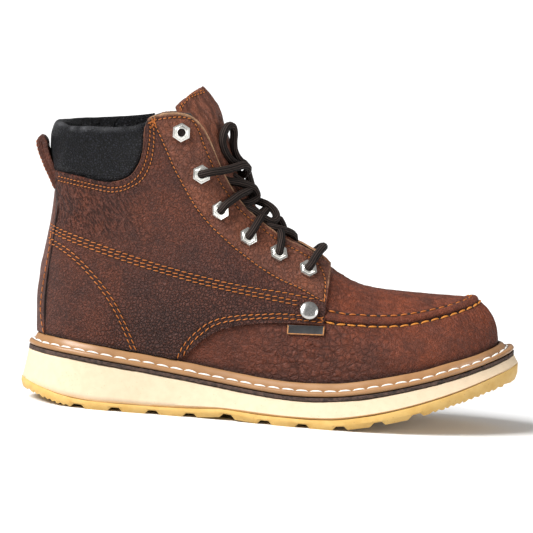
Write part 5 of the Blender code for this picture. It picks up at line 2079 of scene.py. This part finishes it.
@dataclass
class Collar:
    """Padded black collar in the scoop."""

    pleats: Table = ((-118.0, 0.9), (-108.5, 1.0), (-96.0, 0.8))
    middle: tuple[float, float] = (-113.0, 160.0)
    tuck_from: float = 10.0
    tuck: float = 6.5
    sink: float = 3.4
    straighten: float = 3.4
    dip: float = 2.6

    def to_edge(self, points: np.ndarray) -> tuple[np.ndarray, np.ndarray, np.ndarray]:
        """Measures the side view's way from places to the quarter's scooped edge.

        Args:
            points: Places in millimetres.

        Returns:
            The way, how long it is, and whether the place is inside the scoop.
        """
        edge = curve_through(np.array(Quarters.scoop), 0.5)
        flat = points[:, [0, 2]]
        near = edge[np.array([np.argmin(((edge - p) ** 2).sum(1)) for p in flat])]
        way = near - flat
        return way, np.linalg.norm(way, axis=1), (way * (near - np.array(self.middle))).sum(1) > 0

    def build(self) -> None:
        """Shapes and dresses it."""
        obj = copy_of("collar", "padded_collar")
        crease(obj, 70, 0.3)
        subdivide(obj, 3)
        points, normals = read(obj), read(obj, "normal")
        inward = (normals[:, 1] * points[:, 1] < 0) * ramp(points[:, 2], 150, 160)
        height = ripple(points, 30, 51) * 0.3 + ripple(points, 9, 52) * 0.08
        for x, depth in self.pleats:
            off = points[:, 0] - x - (points[:, 2] - 165) * 0.45
            height -= hump(off, 1.1) * depth * inward
        points = points + normals * height[:, None]
        self.fit_scoop(points)
        write(obj, points)
        # Painted shade on the inner wall, inside the opening.
        paint(obj, "deep", inward)
        # Painted highlight along the near rim and on the bulge at its front.
        paint(obj, "raw", self.highlight(points))
        smooth(obj)
        dress(obj, "black_leather", finishes.black, node="collar")

    def fit_scoop(self, points: np.ndarray) -> None:
        """Moves the collar's places back, down at the near rim, and in behind the quarter's edge.

        Args:
            points: Places in millimetres, which are changed.
        """
        back = ramp(points[:, 2], 166, 142) * ramp(points[:, 0], -116, -132)
        points[:, 0] -= self.straighten * back
        x, y, z = points.T
        rim = ramp(z, 148, 164) * ramp(y, 0, -16)
        rim *= ramp(x, -142, -132) * ramp(x, -84, -94)
        points[:, 2] -= self.dip * rim
        way, away, within = self.to_edge(points)
        reach = np.where(within, ramp(away, self.tuck_from, 0) ** 1.5 * self.tuck, 0.0)
        points[:, [0, 2]] += way / np.maximum(away, 1e-6)[:, None] * reach[:, None]
        _, away, within = self.to_edge(points)
        share = ramp(np.where(within, away, -away), 3.5, -2)
        depth = share * share * (3 - 2 * share) * self.sink
        points[:, 1] -= np.sign(points[:, 1]) * np.minimum(abs(points[:, 1]), depth)

    def highlight(self, points: np.ndarray) -> np.ndarray:
        """Finds where the painted highlight goes: the roll along the near rim and the bulge at its front.

        Args:
            points: Places in millimetres.

        Returns:
            One share for each place.
        """
        x, y, z = points.T
        near = y < 0
        cell = np.round(x / 3).astype(int)
        tops = {c: z[near & (cell == c)].max() for c in set(cell[near])}
        below = np.array([tops.get(c, 999.0) for c in cell]) - z
        along = np.maximum(ramp(x, -84, -106), 0.15)
        roll = near * hump(below - 1.2, 1.7) * along * (0.7 + 0.5 * ripple(points, 9, 53))
        bulge = hump(np.hypot((x + 88) / 12, (z - 157) / 12), 1.0) * 0.035
        return roll * 0.7 + bulge


@dataclass
class Tongue:
    """Tongue with a stitched hem along its top."""

    hem: Table = ((-66.6, -26.0, 184.6), (-64.8, -25.0, 189.4), (-62.6, -22.0, 192.2),
                  (-58.4, -14.0, 194.6), (-53.0, -3.0, 196.4))
    forward: Table = ((120, 0.0), (150, 3.0), (165, 4.2), (180, 3.4), (198, 1.7))

    def build(self) -> None:
        """Shapes, dresses and sews it."""
        obj = copy_of("tongue", "tongue_leather")
        crease(obj, 50, 0.75)
        subdivide(obj, 3)
        points, normals = read(obj), read(obj, "normal")
        slant = points[:, 0] * 0.55 + points[:, 2] * 0.25 - abs(points[:, 1]) * 0.55
        wrinkle = np.sin(slant * 1.5 + ripple(points, 14, 61) * 2.2) * (0.55 + 0.45 * ripple(points, 9, 62))
        height = ripple(points, 20, 63) * 0.35 + wrinkle * 0.26
        points = points + normals * height[:, None]
        points[:, 0] += np.interp(points[:, 2], *zip(*self.forward))
        points[:, 2] += np.interp(points[:, 2], (178, 198), (0, 1.2))
        write(obj, points)
        smooth(obj, 60)
        dress(obj, "brown_leather", finishes.tongue, node="tongue")
        skin = Skin(obj)
        rows = np.array(self.hem)
        shifts = ((0, 0), (0.7, -1.2))
        lines = [skin.trace(rows[:, [0, 2]] + shift, side) for side in Side for shift in shifts]
        Sewing(SHORT_THREAD).sew("hem_stitches", lines, "brown_leather")


@dataclass
class PullLoop:
    """Strap folded over at the back of the collar, sewn along both edges."""

    line: Table = ((-138.6, 130.0), (-139.8, 133.0), (-142.4, 137.6), (-147.2, 146.4), (-150.2, 153.2),
                   (-151.2, 157.4), (-149.8, 160.0), (-147.7, 158.2), (-146.6, 154.4), (-144.4, 148.4),
                   (-141.4, 142.0), (-138.8, 137.0), (-137.4, 132.6))
    wide: float = 18.6
    thick: float = 3.2
    margin: float = 1.5

    def build(self) -> None:
        """Folds a flat strap along its line and thickens it."""
        way = curve_through(np.array(self.line), 0.9)
        count = len(way)
        bpy.ops.object.select_all(action="DESELECT")
        bpy.ops.mesh.primitive_grid_add(x_subdivisions=count - 1, y_subdivisions=24, size=2.0)
        obj = bpy.context.object
        obj.name = obj.data.name = "pull_loop_strap"
        flat = read(obj) * MM
        at = (flat[:, 0] + 1) / 2 * (count - 1)
        x, z = (np.interp(at, np.arange(count), way[:, k]) for k in range(2))
        fold = np.argmax(way[:, 1])
        bow = np.clip((fold - at) / 8, -1, 1) * ramp(z, 138, 146)
        points = np.stack([x + bow * 0.5 * flat[:, 1] ** 2, flat[:, 1] * self.wide / 2, z], axis=1)
        write(obj, points)
        modify(obj, "SOLIDIFY", thickness=self.thick * MM, offset=0.0)
        bevel(obj, 0.5, 2, 60)
        points, normals = read(obj), read(obj, "normal")
        write(obj, points + normals * (ripple(points, 9, 71) * 0.12)[:, None])
        smooth(obj, 60)
        dress(obj, "brown_leather", finishes.strap, node="pull_loop")
        skin, part = Skin(obj), way[:fold] - (self.thick, 0)
        across = self.wide / 2 - self.margin
        lines = [skin.lay(np.insert(part, 1, side.value * across, axis=1)) for side in Side]
        Sewing(SHORT_THREAD).sew("loop_stitches", lines, "brown_leather")


@dataclass
class Hardware:
    """Six sided eyelets, domed rivets and the plain side tag."""

    flats: float = 10.2
    hole: float = 2.55
    proud: float = 0.9
    sunk: float = 1.0
    rivet_sunk: float = 1.0
    rivet_moved: tuple[float, float, float] = (-0.3, 0.0, -1.4)
    tag_border: float = 0.75
    tag_raised: float = 1.2
    tag_tilt: float = 0.03

    def places(self) -> dict[tuple[int, Side], Line]:
        """Reads where the CAD eyelets sit.

        Returns:
            Middle of the base and outward direction of each, by number and side.
        """
        found = {}
        for side in Side:
            for number in range(1, 7):
                found[number, side] = self.seat(f"eyelet_{side.name.lower()}_{number}")
        return found

    def seat(self, node: str) -> Line:
        """Finds the middle and the direction of a flat CAD node.

        Args:
            node: The node.

        Returns:
            Its middle in millimetres and its outward direction.
        """
        points = np.array([v.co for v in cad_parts[node].data.vertices]) / MM
        middle = points.mean(0)
        out = np.linalg.svd(points - middle)[2][2]
        return middle, out * np.sign(out[1] * middle[1])

    def build(self) -> None:
        """Makes all of it."""
        eyelet, rivet = self.one_eyelet(), self.one_rivet()
        for side in Side:
            word = side.name.lower()
            for number in range(1, 7):
                self.put(eyelet, f"eyelet_{number}_{word}", f"eyelet_{word}_{number}")
            self.put(rivet, f"domed_rivet_{word}", f"rivet_{word}")
        for model in (eyelet, rivet):
            bpy.data.objects.remove(model)
        self.tag()

    def one_eyelet(self) -> bpy.types.Object:
        """Models a six sided eyelet at the origin: plate, step, rolled lip and a dark well of painted
        shade.

        Returns:
            The model.
        """
        corner = self.flats / 2 / math.cos(math.pi / 6)
        bpy.ops.object.select_all(action="DESELECT")
        high = self.proud + self.sunk
        bpy.ops.mesh.primitive_cylinder_add(vertices=6, radius=corner * MM, depth=high * MM,
                                            location=(0, 0, 0))
        obj = bpy.context.object
        edit_faces(obj, face_data(obj)[1][:, 2] > 0.9)
        bpy.ops.mesh.inset(thickness=1.35 * MM, depth=-0.22 * MM)
        bpy.ops.mesh.inset(thickness=0.12 * MM, depth=0.5 * MM)
        leave()
        bpy.ops.object.select_all(action="DESELECT")
        bpy.ops.mesh.primitive_cylinder_add(vertices=36, radius=self.hole * MM, depth=6 * MM,
                                            location=(0, 0, 3.2 * MM - high / 2 * MM))
        drill = bpy.context.object
        modify(obj, "BOOLEAN", operation="DIFFERENCE", solver="EXACT", object=drill)
        bpy.data.objects.remove(drill)
        bevel(obj, 0.22, 2, 30)
        bpy.ops.object.select_all(action="DESELECT")
        bpy.ops.mesh.primitive_torus_add(major_radius=(self.hole + 0.22) * MM, minor_radius=0.34 * MM,
                                         major_segments=36, minor_segments=8,
                                         location=(0, 0, (high / 2 + 0.22) * MM))
        lip = bpy.context.object
        bpy.ops.object.transform_apply(location=True, rotation=True, scale=True)
        focus(obj)
        lip.select_set(True)
        bpy.ops.object.join()
        points, _ = face_data(obj)
        across = np.linalg.norm(points[:, :2], axis=1)
        inner = (across < self.hole - 0.02) & (points[:, 2] < high / 2 - 0.5)
        # The inside of the well takes the dark finish, painted shade.
        obj.data.polygons.foreach_set("material_index", inner.astype(np.int32))
        smooth(obj, 40)
        return obj

    def one_rivet(self) -> bpy.types.Object:
        """Models a domed rivet at the origin.

        Returns:
            The model.
        """
        bpy.ops.object.select_all(action="DESELECT")
        bpy.ops.mesh.primitive_uv_sphere_add(segments=40, ring_count=24, radius=5.0 * MM)
        obj = bpy.context.object
        edit(obj)
        bpy.ops.mesh.select_all(action="SELECT")
        bpy.ops.mesh.bisect(plane_co=(0, 0, 0), plane_no=(0, 0, 1), clear_inner=True, use_fill=True)
        bpy.ops.mesh.select_all(action="SELECT")
        bpy.ops.transform.resize(value=(1.14, 1.14, 0.4))
        leave()
        edit_faces(obj, face_data(obj)[1][:, 2] < -0.9)
        bpy.ops.mesh.extrude_region_move(TRANSFORM_OT_translate={"value": (0, 0, -0.8 * MM)})
        leave()
        bevel(obj, 0.3, 3, 50)
        smooth(obj, 40)
        return obj

    def put(self, model: bpy.types.Object, name: str, node: str) -> None:
        """Copies a model onto its CAD node's place.

        Args:
            model: The model at the origin.
            name: The piece's name.
            node: The CAD node.
        """
        middle, out = self.seat(node)
        domed = "rivet" in node
        if domed:
            middle = middle - out * self.rivet_sunk + np.array(self.rivet_moved)
        else:
            middle = middle - out * (self.sunk / 2)
        up = np.array([0.0, 0.0, 1.0]) - out * out[2]
        up /= np.linalg.norm(up)
        turn = Matrix(np.stack([-np.cross(out, up), up, out], axis=1).tolist()).to_4x4()
        obj = new_object(name, model.data.copy())
        obj.data.transform(Matrix.Translation(Vector(middle) * MM) @ turn)
        index = np.zeros(len(obj.data.polygons), np.int32)
        obj.data.polygons.foreach_get("material_index", index)
        # Rivets take the darker nickel with painted darker reflections, and eyelet wells take painted
        # shade.
        dress(obj, "bright_metal", finishes.dome if domed else finishes.nickel, finishes.hole, node=node)
        obj.data.polygons.foreach_set("material_index", index)

    def tag(self) -> None:
        """Makes the side tag with its pale border."""
        obj = copy_of("label", "side_tag")
        edit_faces(obj, outward_share(*face_data(obj)) > 0.5)
        bpy.ops.mesh.inset(thickness=self.tag_border * MM, depth=0.0)
        bpy.ops.mesh.inset(thickness=0.1 * MM, depth=-0.2 * MM)
        leave()
        bevel(obj, 0.15, 2, 50)
        smooth(obj, 40)
        dress(obj, "label_leather", finishes.tag, finishes.tag_rim, node="label")
        obj.data.polygons.foreach_set("material_index", self.rim_faces(obj))
        points = read(obj)
        points[:, 2] += self.tag_raised + (points[:, 0] - points[:, 0].mean()) * self.tag_tilt
        write(obj, points)

    def rim_faces(self, obj: bpy.types.Object) -> np.ndarray:
        """Tells which faces of the tag belong to its border.

        Args:
            obj: The tag.

        Returns:
            Their material numbers.
        """
        middle, normal = face_data(obj)
        low, high = middle.min(0) + self.tag_border, middle.max(0) - self.tag_border
        inner = (middle[:, 0] > low[0]) & (middle[:, 0] < high[0]) & (middle[:, 2] > low[2])
        return np.where(inner & (normal[:, 1] < -0.3), 0, 1).astype(np.int32)


def main() -> None:
    """Builds the boot, logging how many faces each piece has."""
    logging.basicConfig(level=logging.INFO, format="%(message)s")
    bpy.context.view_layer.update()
    hardware = Hardware()
    Studio().build()
    Lace().build(hardware.places())
    Sole().build()
    Upper().build()
    Quarters().build()
    Collar().build()
    Tongue().build()
    PullLoop().build()
    hardware.build()


if __name__ == "__main__":
    main()
